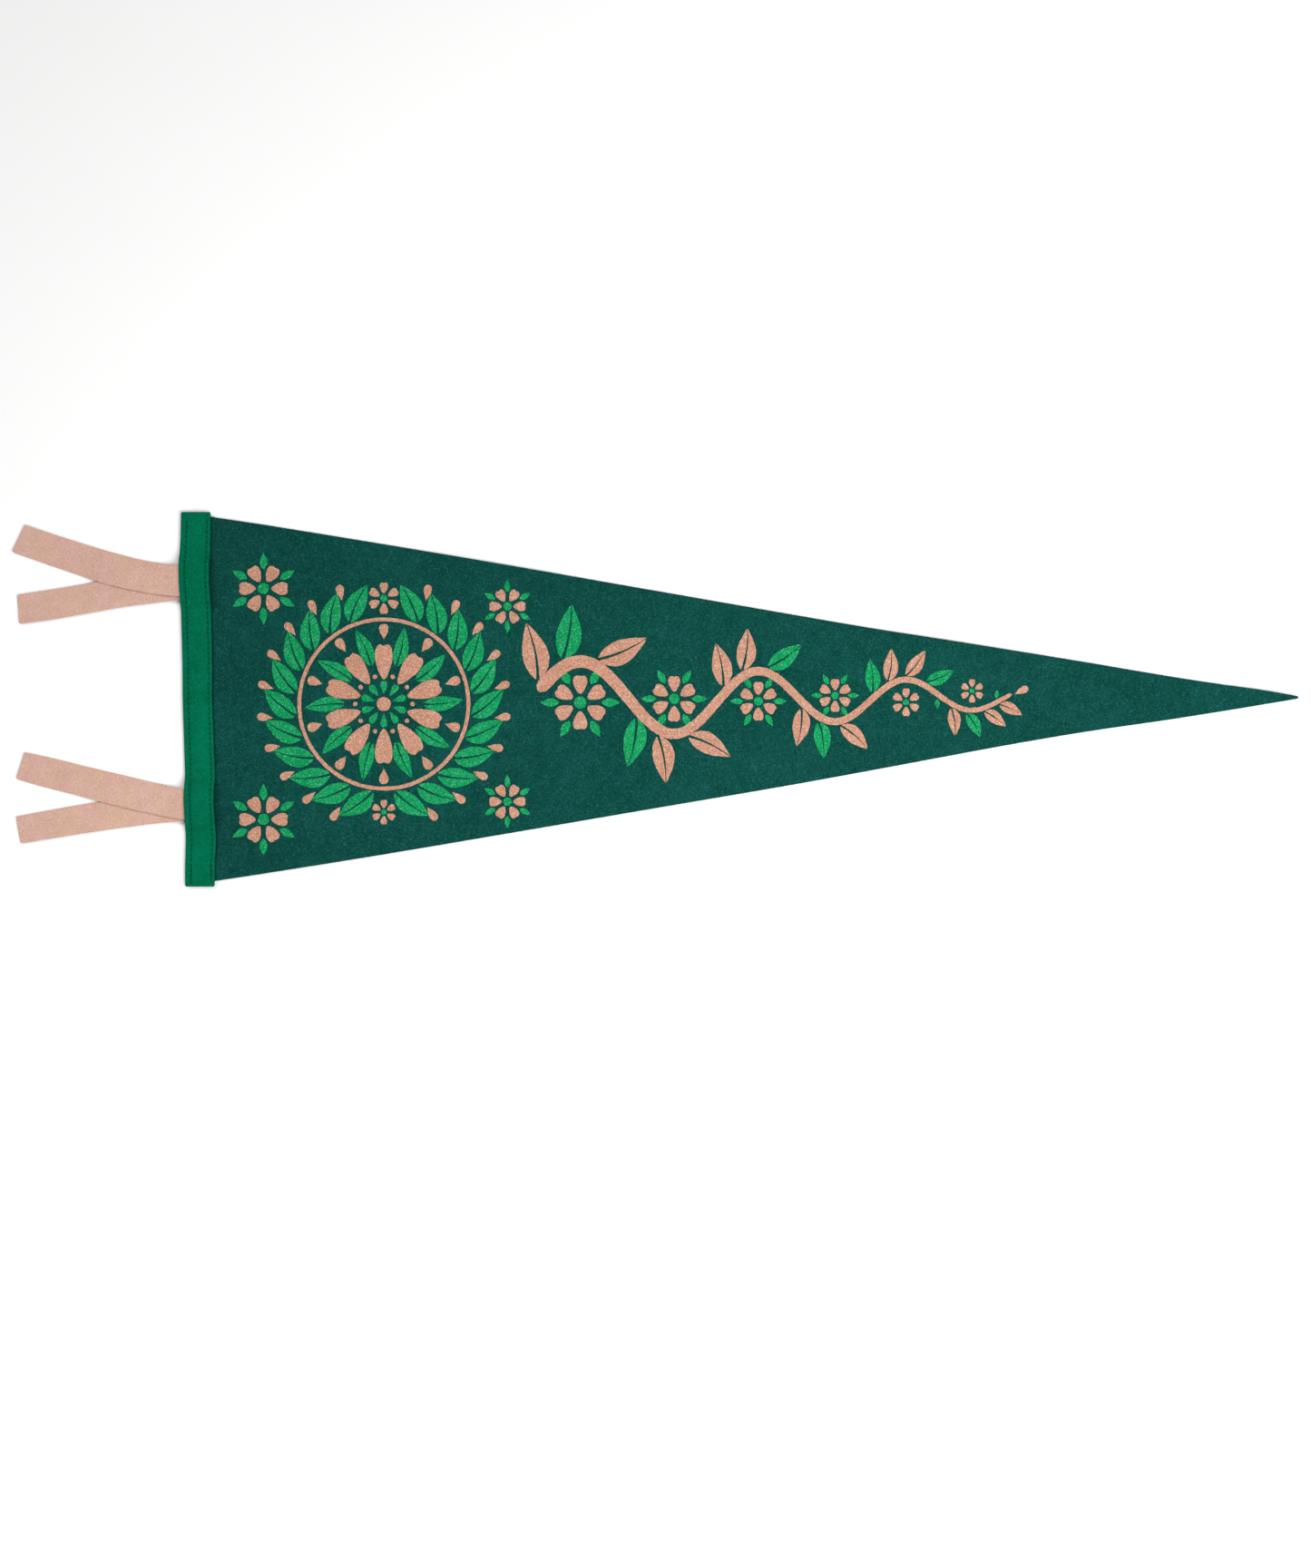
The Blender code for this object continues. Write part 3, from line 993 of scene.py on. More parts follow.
@dataclass
class HeadingBand:
    """The sewn strip over the hoist, which swells over the ties and dips at its two seams."""

    cloth: PennantCloth
    ties: tuple[FoldedTie, ...]
    top: float = 115.0
    bottom: float = -115.3
    nominal_half: float = 9.2
    thick: float = 1.2
    gap: float = 0.3
    touch: float = 0.06
    swell_level: float = 1.3
    swell_run: float = 7.0
    edge_round: float = 0.36
    corner: float = 1.1
    along_cells: int = 300
    across_cells: int = 34
    edge_steps: tuple[float, ...] = (0.0, 0.10, 0.36, 0.75)
    end_steps: tuple[float, ...] = (0.0, 0.10, 0.36, 0.7, 1.2)
    outer_seam: float = -0.62
    inner_seam: float = 0.75
    seam_width: float = 1.05
    seam_depth: float = 0.52
    stitch_pitch: float = 3.1
    stitch_dip: float = 0.16
    tie_pull: float = 0.9
    inner_pull: float = 0.2
    groove_fall: float = 2.2
    pulled_fall: float = 1.6
    free_lift: float = 0.30
    lift_start: float = 0.05
    lift_run: float = 0.18
    lip: float = 0.22
    tucked_lip: float = 0.30
    lip_share: float = 0.84
    lip_reach: float = 0.12
    puff: float = 0.2
    back_share: float = 0.5
    shape: tuple[BandRow, ...] = (
        BandRow(-116, 1.0, 18.2),
        BandRow(-100, 1.05, 18.2),
        BandRow(-87, 1.6, 18.6),
        BandRow(-75, 1.2, 18.4),
        BandRow(-60, 0.5, 18.3),
        BandRow(-50, 0.95, 18.4),
        BandRow(-27, 0.35, 18.2),
        BandRow(0, -0.5, 18.1),
        BandRow(20, -0.6, 18.3),
        BandRow(40, -1.0, 18.4),
        BandRow(60, -1.6, 18.5),
        BandRow(74, -2.4, 18.5),
        BandRow(82, -2.4, 18.7),
        BandRow(100, -1.7, 18.4),
        BandRow(116, -1.5, 18.2),
    )

    def __post_init__(self) -> None:
        """Prepares the curves of the middle line and the width."""
        self.middle = SmoothColumn(self.shape, "y", "middle")
        self.width = SmoothColumn(self.shape, "y", "width")

    def inner_edge(self) -> list[tuple[float, float]]:
        """The edge that lies on the cloth, as pairs of y and x."""
        return [(row.y, row.middle + row.width / 2.0) for row in self.shape]

    def swell(self, x: np.ndarray, y: np.ndarray) -> np.ndarray:
        """How much the ties lift the band at a place, from 0 to 1."""
        total = np.zeros(np.broadcast(x, y).shape)
        for tie in self.ties:
            upper = np.maximum(tie.over.edge(x, 1.0), tie.under.edge(x, 1.0))
            lower = np.minimum(tie.over.edge(x, -1.0), tie.under.edge(x, -1.0))
            outside = np.maximum(y - upper, lower - y) - self.swell_level
            total = np.maximum(total, 1.0 - ramp(outside / self.swell_run))
        return total

    def back(self, x: np.ndarray, y: np.ndarray) -> np.ndarray:
        """Height of the band's underside."""
        folded = 2.0 * (self.ties[0].thick + self.gap)
        share = (x - self.middle(y)) / (self.width(y) / 2.0)
        lift = self.free_lift * ramp((share - self.inner_seam - self.lift_start) / self.lift_run)
        swell = (folded + self.gap - self.touch) * self.swell(x, y)
        return self.cloth.thick + self.touch + lift + swell

    def groove(self, aside: np.ndarray, y: np.ndarray, seam: float, pull: np.ndarray) -> np.ndarray:
        """Depth of one seam's groove, deeper at each needle hole.

        Args:
            aside: Distance from the band's middle line, in millimetres.
            y: The place along the band.
            seam: The seam's share of the half width.
            pull: How hard the ties make the thread pull in, from 0 to 1.

        Returns:
            The depth in millimetres.
        """
        away = (aside - seam * self.width(y) / 2.0) / self.seam_width
        holes = 0.5 + 0.5 * np.cos(2.0 * math.pi * (y - self.bottom) / self.stitch_pitch)
        depth = (self.seam_depth + self.stitch_dip * holes) * (1.0 + self.tie_pull * pull)
        return depth * np.exp(-away ** 2 * (self.groove_fall + self.pulled_fall * pull))

    def face(self, x: np.ndarray, y: np.ndarray) -> np.ndarray:
        """Height of the band's face, without its round edges."""
        aside = x - self.middle(y)
        share = aside / (self.width(y) / 2.0)
        tucked = self.swell(x, y)
        lip = self.lip + self.tucked_lip * tucked
        lip = lip * np.exp(-((share + self.lip_share) / self.lip_reach) ** 2)
        puff = lip + self.puff * (1.0 - np.abs(share) ** 4)
        outer = self.groove(aside, y, self.outer_seam, tucked)
        inner = self.groove(aside, y, self.inner_seam, self.inner_pull * tucked)
        wavy = 0.05 * np.sin(y / 3.1 + 0.8 * share) + 0.04 * np.sin(y / 7.7 + 2.0)
        return self.back(x, y) + self.thick + puff - outer - inner + wavy

    def build(self) -> bpy.types.Object:
        """The band's felt: a grid laid along the hoist and given its two sides."""
        deselect_all()
        bpy.ops.mesh.primitive_grid_add(
            x_subdivisions=self.across_cells, y_subdivisions=self.along_cells, size=1.0)
        piece = take_new("heading_band")
        share = coordinates(piece)[:, :2] + 0.5
        numbers = np.rint(share * np.array([self.across_cells, self.along_cells])).astype(int)
        y = edged_places(self.bottom, self.top, self.along_cells, self.end_steps)[numbers[:, 1]]
        from_end = np.minimum(y - self.bottom, self.top - y)
        half = self.width(y) / 2.0 - rounded(from_end, self.corner)
        widest = self.nominal_half
        asides = edged_places(-widest, widest, self.across_cells, self.edge_steps) / widest
        x = self.middle(y) + asides[numbers[:, 0]] * half
        from_side = half - np.abs(x - self.middle(y))
        drawn = rounded(np.minimum(from_end, from_side), self.edge_round)
        face = (x, y, self.face(x, y) - drawn)
        back = (x, y, self.back(x, y) + drawn * self.back_share)
        thicken(piece, in_metres(face), in_metres(back))
        return piece


@dataclass
class Stitching:
    """The two rows of thread that hold the band, seen on its face and on the cloth's back."""

    band: HeadingBand
    thread: float = 0.52
    stitch: float = 2.45
    end_margin: float = 2.6
    tack_count: int = 4
    tack_shift: float = 0.15
    tack_aside: float = 0.32
    drift: float = 0.10
    wobble: float = 0.05
    over_felt: float = 0.13
    under_felt: float = 0.02
    blunt: float = 0.45
    dive: float = 3.8
    dive_power: float = 2.6

    def one_stitch(self) -> bpy.types.Object:
        """A short length of thread whose ends dive into the felt, along Y and 1 mm long."""
        deselect_all()
        bpy.ops.mesh.primitive_uv_sphere_add(segments=8, ring_count=8, radius=0.5)
        piece = take_new("stitch")
        rows = coordinates(piece)
        rows = rows[:, [0, 2, 1]] * np.array([1.0, 1.0, -1.0])
        full = np.sqrt(np.clip(1.0 - (2.0 * rows[:, 1]) ** 2, 0.0, 1.0))
        thicker = np.where(full > 1e-6, np.maximum(full, 1e-6) ** -self.blunt, 1.0)
        rows[:, 0] *= thicker
        rows[:, 2] *= thicker
        rows[:, 2] -= self.dive * np.abs(rows[:, 1]) ** self.dive_power
        set_coordinates(piece, rows)
        piece.data.shade_smooth()
        return piece

    def row_places(self, seam: float) -> list[tuple[float, float, float]]:
        """The x, y and heading of each stitch of one row, with doubled ones at the end.

        Args:
            seam: The row's share of the band's half width.

        Returns:
            One place for each stitch.
        """
        band = self.band
        first = band.bottom + self.end_margin
        count = int((band.top - self.end_margin - first) / band.stitch_pitch)
        middles = [first + (i + 0.5) * band.stitch_pitch for i in range(count)]
        middles += [first + (i + self.tack_shift) * band.stitch_pitch for i in range(self.tack_count)]
        places = []
        for number, y in enumerate(middles):
            drift = self.drift * math.sin(1.9 * number) + (self.tack_aside if number >= count else 0.0)
            x = float(band.middle(y) + seam * band.width(y) / 2.0) + drift
            ahead = float(band.middle(y + 1.0) + seam * band.width(y + 1.0) / 2.0)
            behind = float(band.middle(y - 1.0) + seam * band.width(y - 1.0) / 2.0)
            lean = math.atan2(ahead - behind, 2.0) + self.wobble * math.sin(2.7 * number)
            places.append((x, y, lean))
        return places

    def placement(self, x: float, y: float, lean: float, on_face: bool) -> Matrix:
        """Where one stitch goes, on the band's face or on the cloth's back."""
        if on_face:
            span = self.stitch / 2.0
            height = float(self.band.face(np.array(x), np.array(y)))
            slope = float(self.band.face(np.array(x), np.array(y + span))
                          - self.band.face(np.array(x), np.array(y - span))) / self.stitch
            lift, side = height + self.over_felt, 1.0
        else:
            slope, lift, side = 0.0, self.under_felt, -1.0
        scale = Matrix.Diagonal((self.thread * MM, self.stitch * MM, side * self.thread * MM, 1.0))
        turn = Matrix.Rotation(-lean, 4, "Z") @ Matrix.Rotation(math.atan(slope), 4, "X")
        return Matrix.Translation(Vector((x, y, lift)) * MM) @ turn @ scale

    def build(self, on_face: bool) -> bpy.types.Object:
        """Both rows of stitches on one side."""
        placements = [
            self.placement(x, y, lean, on_face)
            for seam in (self.band.outer_seam, self.band.inner_seam)
            for x, y, lean in self.row_places(seam)
        ]
        name = "face_stitches" if on_face else "back_stitches"
        piece = copies_of(name, self.one_stitch(), placements)
        piece.data.shade_smooth()
        return piece


@dataclass
class EdgeFuzz:
    """Loose fibres that stand out of a felt piece's cut edges."""

    seed: int
    per_metre: float = 2100.0
    longest: float = 0.95
    thick: float = 0.035
    hidden_beyond_x: float | None = None
    tip: float = 0.16
    curl: float = 7.0
    splay: float = 0.55
    flatness: float = 0.7
    shortest_share: float = 0.25

    def one_fibre(self) -> bpy.types.Object:
        """A fine curved taper along Z, 1 long and 1 across."""
        deselect_all()
        bpy.ops.mesh.primitive_cone_add(vertices=3, radius1=0.5, radius2=self.tip, depth=1.0)
        piece = take_new("fibre")
        bpy.ops.object.mode_set(mode="EDIT")
        bpy.ops.mesh.select_all(action="SELECT")
        bpy.ops.mesh.bisect(plane_co=(0.0, 0.0, 0.0), plane_no=(0.0, 0.0, 1.0))
        bpy.ops.object.mode_set(mode="OBJECT")
        rows = coordinates(piece)
        rows[:, 2] += 0.5
        rows[:, 0] += self.curl * rows[:, 2] ** 2
        set_coordinates(piece, rows)
        return piece

    def build(self, name: str, felt: bpy.types.Object) -> bpy.types.Object:
        """The fibres of one felt piece.

        Args:
            name: The fibres' name.
            felt: The piece whose edge walls they stand on.

        Returns:
            All the fibres, as one piece.
        """
        random = np.random.RandomState(self.seed)
        walls = [p for p in felt.data.polygons if abs(p.normal.z) < 0.5]
        if self.hidden_beyond_x is not None:
            walls = [p for p in walls if p.center.x < self.hidden_beyond_x * MM]
        lengths = np.array([max((felt.data.vertices[a].co - felt.data.vertices[b].co).length
                                for a, b in p.edge_keys) for p in walls])
        count = int(lengths.sum() * self.per_metre / 2.0)
        chosen = random.choice(len(walls), size=count, p=lengths / lengths.sum())
        placements = []
        for index in chosen:
            wall = walls[index]
            corners = [felt.data.vertices[v].co for v in wall.vertices]
            weights = random.dirichlet(np.ones(len(corners)))
            root = sum((corner * weight for corner, weight in zip(corners, weights)), Vector())
            out = wall.normal + Vector(random.normal(0.0, self.splay, 3))
            out.z *= self.flatness
            share = self.shortest_share + (1.0 - self.shortest_share) * random.random_sample() ** 2
            long = self.longest * MM * share
            aim = out.normalized().to_track_quat("Z", "X").to_matrix().to_4x4()
            spin = Matrix.Rotation(random.random_sample() * 2.0 * math.pi, 4, "Z")
            size = Matrix.Diagonal((self.thick * MM, self.thick * MM, long, 1.0))
            placements.append(Matrix.Translation(root) @ aim @ spin @ size)
        return copies_of(name, self.one_fibre(), placements)


class Ink(Enum):
    """The print's two colours."""

    PEACH = "peach"
    GREEN = "green"


class Motif(Enum):
    """The print's shapes."""

    LEAF = "leaf"
    BUD = "bud"
    PETAL = "petal"
    DROP = "drop"
    DISC = "disc"


class Printed(NamedTuple):
    """One printed shape: its root in millimetres, its size and the way it points.

    A width below zero sweeps the shape the other way.
    """

    motif: Motif
    ink: Ink
    x: float
    y: float
    length: float
    width: float
    turn: float


def away_from(x: float, y: float, distance: float, turn: float) -> tuple[float, float]:
    """The place at a distance from another, in a direction in degrees."""
    angle = math.radians(turn)
    return x + distance * math.cos(angle), y + distance * math.sin(angle)


@dataclass(frozen=True)
class Blossom:
    """A small flower, whose sizes are shares of how far its petals reach."""

    petals: int = 6
    heart: float = 0.22
    petal_root: float = 0.31
    petal_length: float = 0.69
    petal_width: float = 0.60
    leaf_root: float = 0.76
    leaf_length: float = 0.66
    leaf_width: float = 0.30

    def shapes(self, x: float, y: float, radius: float, first: float, leafy: bool) -> list[Printed]:
        """The flower at one place.

        Args:
            x: Its middle.
            y: Its middle.
            radius: How far its petals reach.
            first: The first petal's direction, in degrees.
            leafy: Whether short leaves show between its petals.

        Returns:
            Its shapes.
        """
        heart = radius * self.heart
        made = [Printed(Motif.DISC, Ink.GREEN, x, y, heart, heart, 0.0)]
        pitch = FULL_TURN / self.petals
        for i in range(self.petals):
            turn = first + pitch * i
            root = away_from(x, y, radius * self.petal_root, turn)
            size = (radius * self.petal_length, radius * self.petal_width)
            made.append(Printed(Motif.PETAL, Ink.PEACH, *root, *size, turn))
            if leafy:
                turn += pitch / 2.0
                root = away_from(x, y, radius * self.leaf_root, turn)
                size = (radius * self.leaf_length, radius * self.leaf_width)
                made.append(Printed(Motif.BUD, Ink.GREEN, *root, *size, turn))
        return made


class Ring(NamedTuple):
    """A ring of shapes round the medallion's middle, one at each petal or between each two."""

    motif: Motif
    ink: Ink
    radius: float
    length: float
    width: float
    between: bool


@dataclass
class Medallion:
    """A round flower in a wreath, with a blossom in each corner round it."""

    x: float = 114.0
    y: float = -3.0
    petals: int = 10
    leaves: int = 24
    stem_radius: float = 52.0
    stem_half: float = 1.15
    heart: float = 4.3
    rings: tuple[Ring, ...] = (
        Ring(Motif.DROP, Ink.GREEN, 5.7, 8.6, 4.4, False),
        Ring(Motif.PETAL, Ink.PEACH, 15.2, 22.6, 12.8, False),
        Ring(Motif.DISC, Ink.PEACH, 17.6, 1.35, 1.35, True),
        Ring(Motif.LEAF, Ink.GREEN, 24.6, 24.0, 9.0, True),
        Ring(Motif.DROP, Ink.PEACH, 39.6, 9.6, 6.2, False),
    )
    wreath_leaf: Ring = Ring(Motif.LEAF, Ink.GREEN, 54.6, 25.0, 12.4, True)
    leaf_tilt: float = 40.0
    wreath_bud: Ring = Ring(Motif.DROP, Ink.PEACH, 68.5, 10.0, 5.2, True)
    bud_shift: float = 1.02
    bud_tilt: float = 12.0
    top_blossom: tuple[float, float] = (65.0, 10.0)
    low_blossom: tuple[float, float] = (66.5, 7.8)
    flower: Blossom = Blossom()
    least_leafy: float = 10.0
    corners: tuple[tuple[float, float, float], ...] = (
        (40.0, 68.0, 15.5),
        (40.0, -74.0, 15.5),
        (190.0, 57.0, 11.5),
        (190.0, -63.0, 11.5),
    )

    def at(self, radius: float, angle: float) -> tuple[float, float]:
        """A place round the middle, at an angle in degrees."""
        return away_from(self.x, self.y, radius, angle)

    def shapes(self) -> list[Printed]:
        """All the shapes of the medallion."""
        made = self.middle_flower() + self.wreath()
        for x, y, radius in self.corners:
            made += self.flower.shapes(x, y, radius, 0.0, radius > self.least_leafy)
        return made

    def middle_flower(self) -> list[Printed]:
        """The flower in the middle: its heart, its petals and the leaves between them."""
        made = [Printed(Motif.DISC, Ink.PEACH, self.x, self.y, self.heart, self.heart, 0.0)]
        pitch = FULL_TURN / self.petals
        for i in range(self.petals):
            for ring in self.rings:
                angle = 90.0 + pitch * i + (pitch / 2.0 if ring.between else 0.0)
                turn = 0.0 if ring.motif is Motif.DISC else angle
                root = self.at(ring.radius, angle)
                made.append(Printed(ring.motif, ring.ink, *root, ring.length, ring.width, turn))
        return made

    def wreath(self) -> list[Printed]:
        """The wreath's leaves and buds, which rise on both sides from a blossom below."""
        made: list[Printed] = []
        for angle, (from_middle, radius) in ((90.0, self.top_blossom), (-90.0, self.low_blossom)):
            made += self.flower.shapes(*self.at(from_middle, angle), radius, 90.0, False)
        leaf, bud = self.wreath_leaf, self.wreath_bud
        pitch = FULL_TURN / self.leaves
        half = self.leaves // 2
        for i in range(half - 1):
            for side in (1.0, -1.0):
                angle = 90.0 - side * (180.0 - pitch * (i + 0.5))
                turn = angle + side * self.leaf_tilt
                root = self.at(leaf.radius, angle)
                made.append(Printed(leaf.motif, leaf.ink, *root, leaf.length, side * leaf.width, turn))
                if i < half - 2:
                    root = self.at(bud.radius, angle + side * pitch * self.bud_shift)
                    turn -= side * self.bud_tilt
                    made.append(Printed(bud.motif, bud.ink, *root, bud.length, bud.width, turn))
        return made

    def stem(self, along: np.ndarray) -> tuple[np.ndarray, np.ndarray, np.ndarray]:
        """The wreath's stem.

        Args:
            along: Shares of its length.

        Returns:
            The x and y of its middle line, and half its width.
        """
        angle = np.radians(90.0 + FULL_TURN * along)
        x = self.x + self.stem_radius * np.cos(angle)
        y = self.y + self.stem_radius * np.sin(angle)
        return x, y, np.full(len(along), self.stem_half)


@dataclass
class Garland:
    """A wavy stem of bold leaves, with a blossom in each bend, that thins to the point."""

    start: float = 209.0
    end: float = 500.0
    swing: float = 26.0
    last_swing: float = 6.0
    waves: float = 3.0
    leaf: float = 35.0
    last_leaf: float = 14.5
    leaf_share: float = 0.47
    stem_half: float = 4.2
    last_stem_half: float = 1.3
    blossom: float = 19.0
    last_blossom: float = 6.6
    flower: Blossom = Blossom()
    least_leafy: float = 9.0
    room: float = 1.42
    centre: float = -1.5
    climb: float = 3.0
    wave_start: float = 0.25
    early_turns: float = 0.74
    late_turns: float = 0.26
    first_pair: float = 0.012
    last_pair: float = 0.985
    pair_pace: float = 0.60
    leaf_gap: float = 0.9
    leaf_tilt: float = 46.0
    bud_tilt: float = 52.0
    bud_length: float = 0.36
    bud_width: float = 0.17
    end_bud: tuple[float, float, float] = (1.6, 9.5, 4.6)

    def middle(self, along: np.ndarray | float) -> tuple[np.ndarray, np.ndarray]:
        """The stem's middle line, at shares of the garland's length."""
        share = np.asarray(along, float)
        x = self.start + (self.end - self.start) * share
        swing = self.last_swing + (self.swing - self.last_swing) * np.clip(1.0 - share, 0.0, 1.0) ** 0.9
        turns = self.waves * (self.early_turns * share + self.late_turns * share * share)
        wave = swing * np.sin(2.0 * math.pi * turns + self.wave_start)
        return x, wave + self.centre + self.climb * share

    def stem(self, along: np.ndarray) -> tuple[np.ndarray, np.ndarray, np.ndarray]:
        """The middle line and half the width of the stem, at shares of its length."""
        x, y = self.middle(along)
        return x, y, self.stem_half + (self.last_stem_half - self.stem_half) * along ** 0.8

    def heading(self, share: float) -> float:
        """The stem's direction at a share of its length, in degrees."""
        x0, y0 = self.middle(share - 0.002)
        x1, y1 = self.middle(share + 0.002)
        return math.degrees(math.atan2(float(y1 - y0), float(x1 - x0)))

    def shapes(self) -> list[Printed]:
        """All the shapes of the garland but its stem."""
        made: list[Printed] = []
        hollows = self.hollows()
        share, number = self.first_pair, 0
        while share < self.last_pair:
            size = self.leaf + (self.last_leaf - self.leaf) * share ** 0.9
            made += [leaf for leaf in self.pair(share, size, number) if self.is_clear(leaf, hollows)]
            step = self.pair_pace * size * math.cos(math.radians(self.heading(share)))
            share += step / (self.end - self.start)
            number += 1
        x, y = (float(v) for v in self.middle(1.0))
        past, length, width = self.end_bud
        made.append(Printed(Motif.DROP, Ink.PEACH, x + past, y, length, width, self.heading(1.0)))
        for x, y, radius in hollows:
            made += self.flower.shapes(x, y, radius, 90.0, radius > self.least_leafy)
        return made

    def is_clear(self, leaf: Printed, hollows: Sequence[tuple[float, float, float]]) -> bool:
        """Whether a leaf stays clear of the blossoms."""
        along = [away_from(leaf.x, leaf.y, leaf.length * share, leaf.turn) for share in (0.2, 0.6, 1.0)]
        return all(
            math.hypot(px - x, py - y) > radius * self.room + 0.2 * abs(leaf.width)
            for px, py in along
            for x, y, radius in hollows
        )

    def pair(self, share: float, size: float, number: int) -> list[Printed]:
        """The two leaves at one place of the stem.

        Args:
            share: The place's share of the garland's length.
            size: The length of the larger leaf.
            number: How many pairs stand before it.

        Returns:
            The larger leaf outside the bend, and the smaller one inside it.
        """
        x, y = (float(v) for v in self.middle(share))
        half = float(self.stem(np.array([share]))[2][0])
        heading = self.heading(share)
        side = 1.0 if y > self.centre + self.climb * share else -1.0
        out = away_from(x, y, half + self.leaf_gap, heading + 90.0 * side)
        into = away_from(x, y, half + self.leaf_gap, heading - 90.0 * side)
        large, small = (Ink.GREEN, Ink.PEACH) if number % 3 == 1 else (Ink.PEACH, Ink.GREEN)
        leaf_size = (size, side * self.leaf_share * size)
        bud_size = (size * self.bud_length, size * self.bud_width)
        return [
            Printed(Motif.LEAF, large, *out, *leaf_size, heading + side * self.leaf_tilt),
            Printed(Motif.BUD, small, *into, *bud_size, heading - side * self.bud_tilt),
        ]

    def hollows(self) -> list[tuple[float, float, float]]:
        """The middle and the radius of the blossom in the hollow of each bend."""
        made: list[tuple[float, float, float]] = []
        shares = np.linspace(0.0, 1.0, 2001)
        x, y = self.middle(shares)
        away = y - (self.centre + self.climb * shares)
        for i in range(1, len(shares) - 1):
            if (away[i] - away[i - 1]) * (away[i + 1] - away[i]) > 0.0 or abs(away[i]) < 1.0:
                continue
            share = float(shares[i])
            radius = self.blossom + (self.last_blossom - self.blossom) * share ** 0.8
            side = 1.0 if away[i] > 0.0 else -1.0
            middle = float(y[i]) - side * (radius * 1.12 + self.stem_half * (1.0 - 0.7 * share) + 2.0)
            made.append((float(x[i]), middle, radius))
        return made


@dataclass
class InkFilm:
    """One colour of the print: its flat shapes, laid on the cloth as a thin raised film."""

    cloth: PennantCloth
    ink: Ink
    shapes: list[Printed]
    over_felt: float
    sunk: float = 0.12
    cut_every: float = 7.0
    ragged: float = 0.085
    seed: int = 27
    vein: float = 0.05
    vein_end: float = 0.014
    sweep: float = 0.42
    outline_points: int = 52
    leaf_points: int = 30

    def outline(self, motif: Motif) -> np.ndarray:
        """A shape's outline, 1 long along X from its root at the origin and 1 across.

        Args:
            motif: The shape that is wanted; only the upper half of a leaf with a vein.

        Returns:
            The outline's places, as rows of x and y.
        """
        angle = np.linspace(0.0, 2.0 * math.pi, self.outline_points, endpoint=False)
        along = 0.5 - 0.5 * np.cos(angle)
        if motif is Motif.DISC:
            return np.column_stack([np.cos(angle), np.sin(angle)])
        if motif is Motif.PETAL:
            notch = 0.085 * np.exp(-((angle - math.pi) / 0.30) ** 2)
            return np.column_stack([along - notch, 0.56 * np.sin(angle) * (0.42 + 0.58 * along)])
        if motif is Motif.DROP:
            return np.column_stack([along, 0.66 * np.sin(angle) * along ** 0.75])
        if motif is Motif.BUD:
            half = 0.5 * np.sin(math.pi * along ** 0.8) ** 0.95
            return np.column_stack([along, half * np.sign(math.pi - angle)])
        edge = 0.5 - 0.5 * np.cos(np.linspace(0.0, math.pi, self.leaf_points))
        gap = self.vein * (1.0 - edge) + self.vein_end
        upper = gap + (0.5 - gap) * np.sin(math.pi * edge ** 0.78) ** 0.95
        inner = edge[-2:0:-3]
        return np.vstack([
            np.column_stack([edge, upper]),
            np.column_stack([inner, self.vein * (1.0 - inner) + self.vein_end]),
        ])

    def one_motif(self, motif: Motif) -> bpy.types.Object:
        """A flat shape that faces up, with its root at the origin and 1 long along X.

        Args:
            motif: The shape that is wanted.

        Returns:
            The shape, which has no thickness yet.
        """
        rows = self.outline(motif)
        deselect_all()
        bpy.ops.mesh.primitive_circle_add(vertices=len(rows), radius=0.5, fill_type="NGON")
        piece = take_new(motif.value)
        set_coordinates(piece, np.column_stack([rows, np.zeros(len(rows))]))
        if piece.data.polygons[0].normal.z < 0.0:
            piece.data.flip_normals()
        if motif is Motif.LEAF:
            apply_modifier(piece, "MIRROR", use_axis=(False, True, False), use_mirror_merge=False)
            bent = coordinates(piece)
            bent[:, 1] += self.sweep * (bent[:, 0] ** 2 - 0.35 * bent[:, 0])
            set_coordinates(piece, bent)
        return piece

    def ribbon(self, name: str, cells: int, closed: bool,
               course: Callable[[np.ndarray], tuple[np.ndarray, np.ndarray, np.ndarray]]) -> bpy.types.Object:
        """A flat stem.

        Args:
            name: Its name.
            cells: How many spaces it has along its length.
            closed: Whether its ends meet, and so aren't rounded.
            course: Gives its middle line and half width at shares of its length.

        Returns:
            The stem, which has no thickness yet.
        """
        deselect_all()
        bpy.ops.mesh.primitive_grid_add(x_subdivisions=cells, y_subdivisions=2, size=1.0)
        piece = take_new(name)
        share = np.clip(coordinates(piece)[:, :2] + 0.5, 0.0, 1.0)
        x, y, half = course(share[:, 0])
        before = course(share[:, 0] - 0.001)
        after = course(share[:, 0] + 0.001)
        run_x, run_y = after[0] - before[0], after[1] - before[1]
        long = np.hypot(run_x, run_y)
        if not closed:
            from_end = np.minimum(share[:, 0], 1.0 - share[:, 0]) * cells / 3.0
            half = half * np.sqrt(1.0 - (1.0 - np.clip(from_end + 0.02, 0.0, 1.0)) ** 2)
        aside = (share[:, 1] * 2.0 - 1.0) * half
        place = (x - run_y / long * aside, y + run_x / long * aside, np.zeros(len(x)))
        set_coordinates(piece, in_metres(place))
        return piece

    def build(self, stems: Sequence[bpy.types.Object]) -> bpy.types.Object:
        """The film, with some flat stems in it."""
        flat = list(stems)
        for motif in Motif:
            rows = [row for row in self.shapes if row.motif is motif and row.ink is self.ink]
            if not rows:
                continue
            placements = [
                Matrix.Translation(Vector((row.x, row.y, 0.0)) * MM)
                @ Matrix.Rotation(math.radians(row.turn), 4, "Z")
                @ Matrix.Diagonal((row.length * MM, row.width * MM, 1.0, 1.0))
                for row in rows
            ]
            flat.append(copies_of(motif.value, self.one_motif(motif), placements))
        piece = joined(f"print_{self.ink.value}", flat)
        self.cut_to_drape(piece)
        self.lay_on_cloth(piece)
        return piece

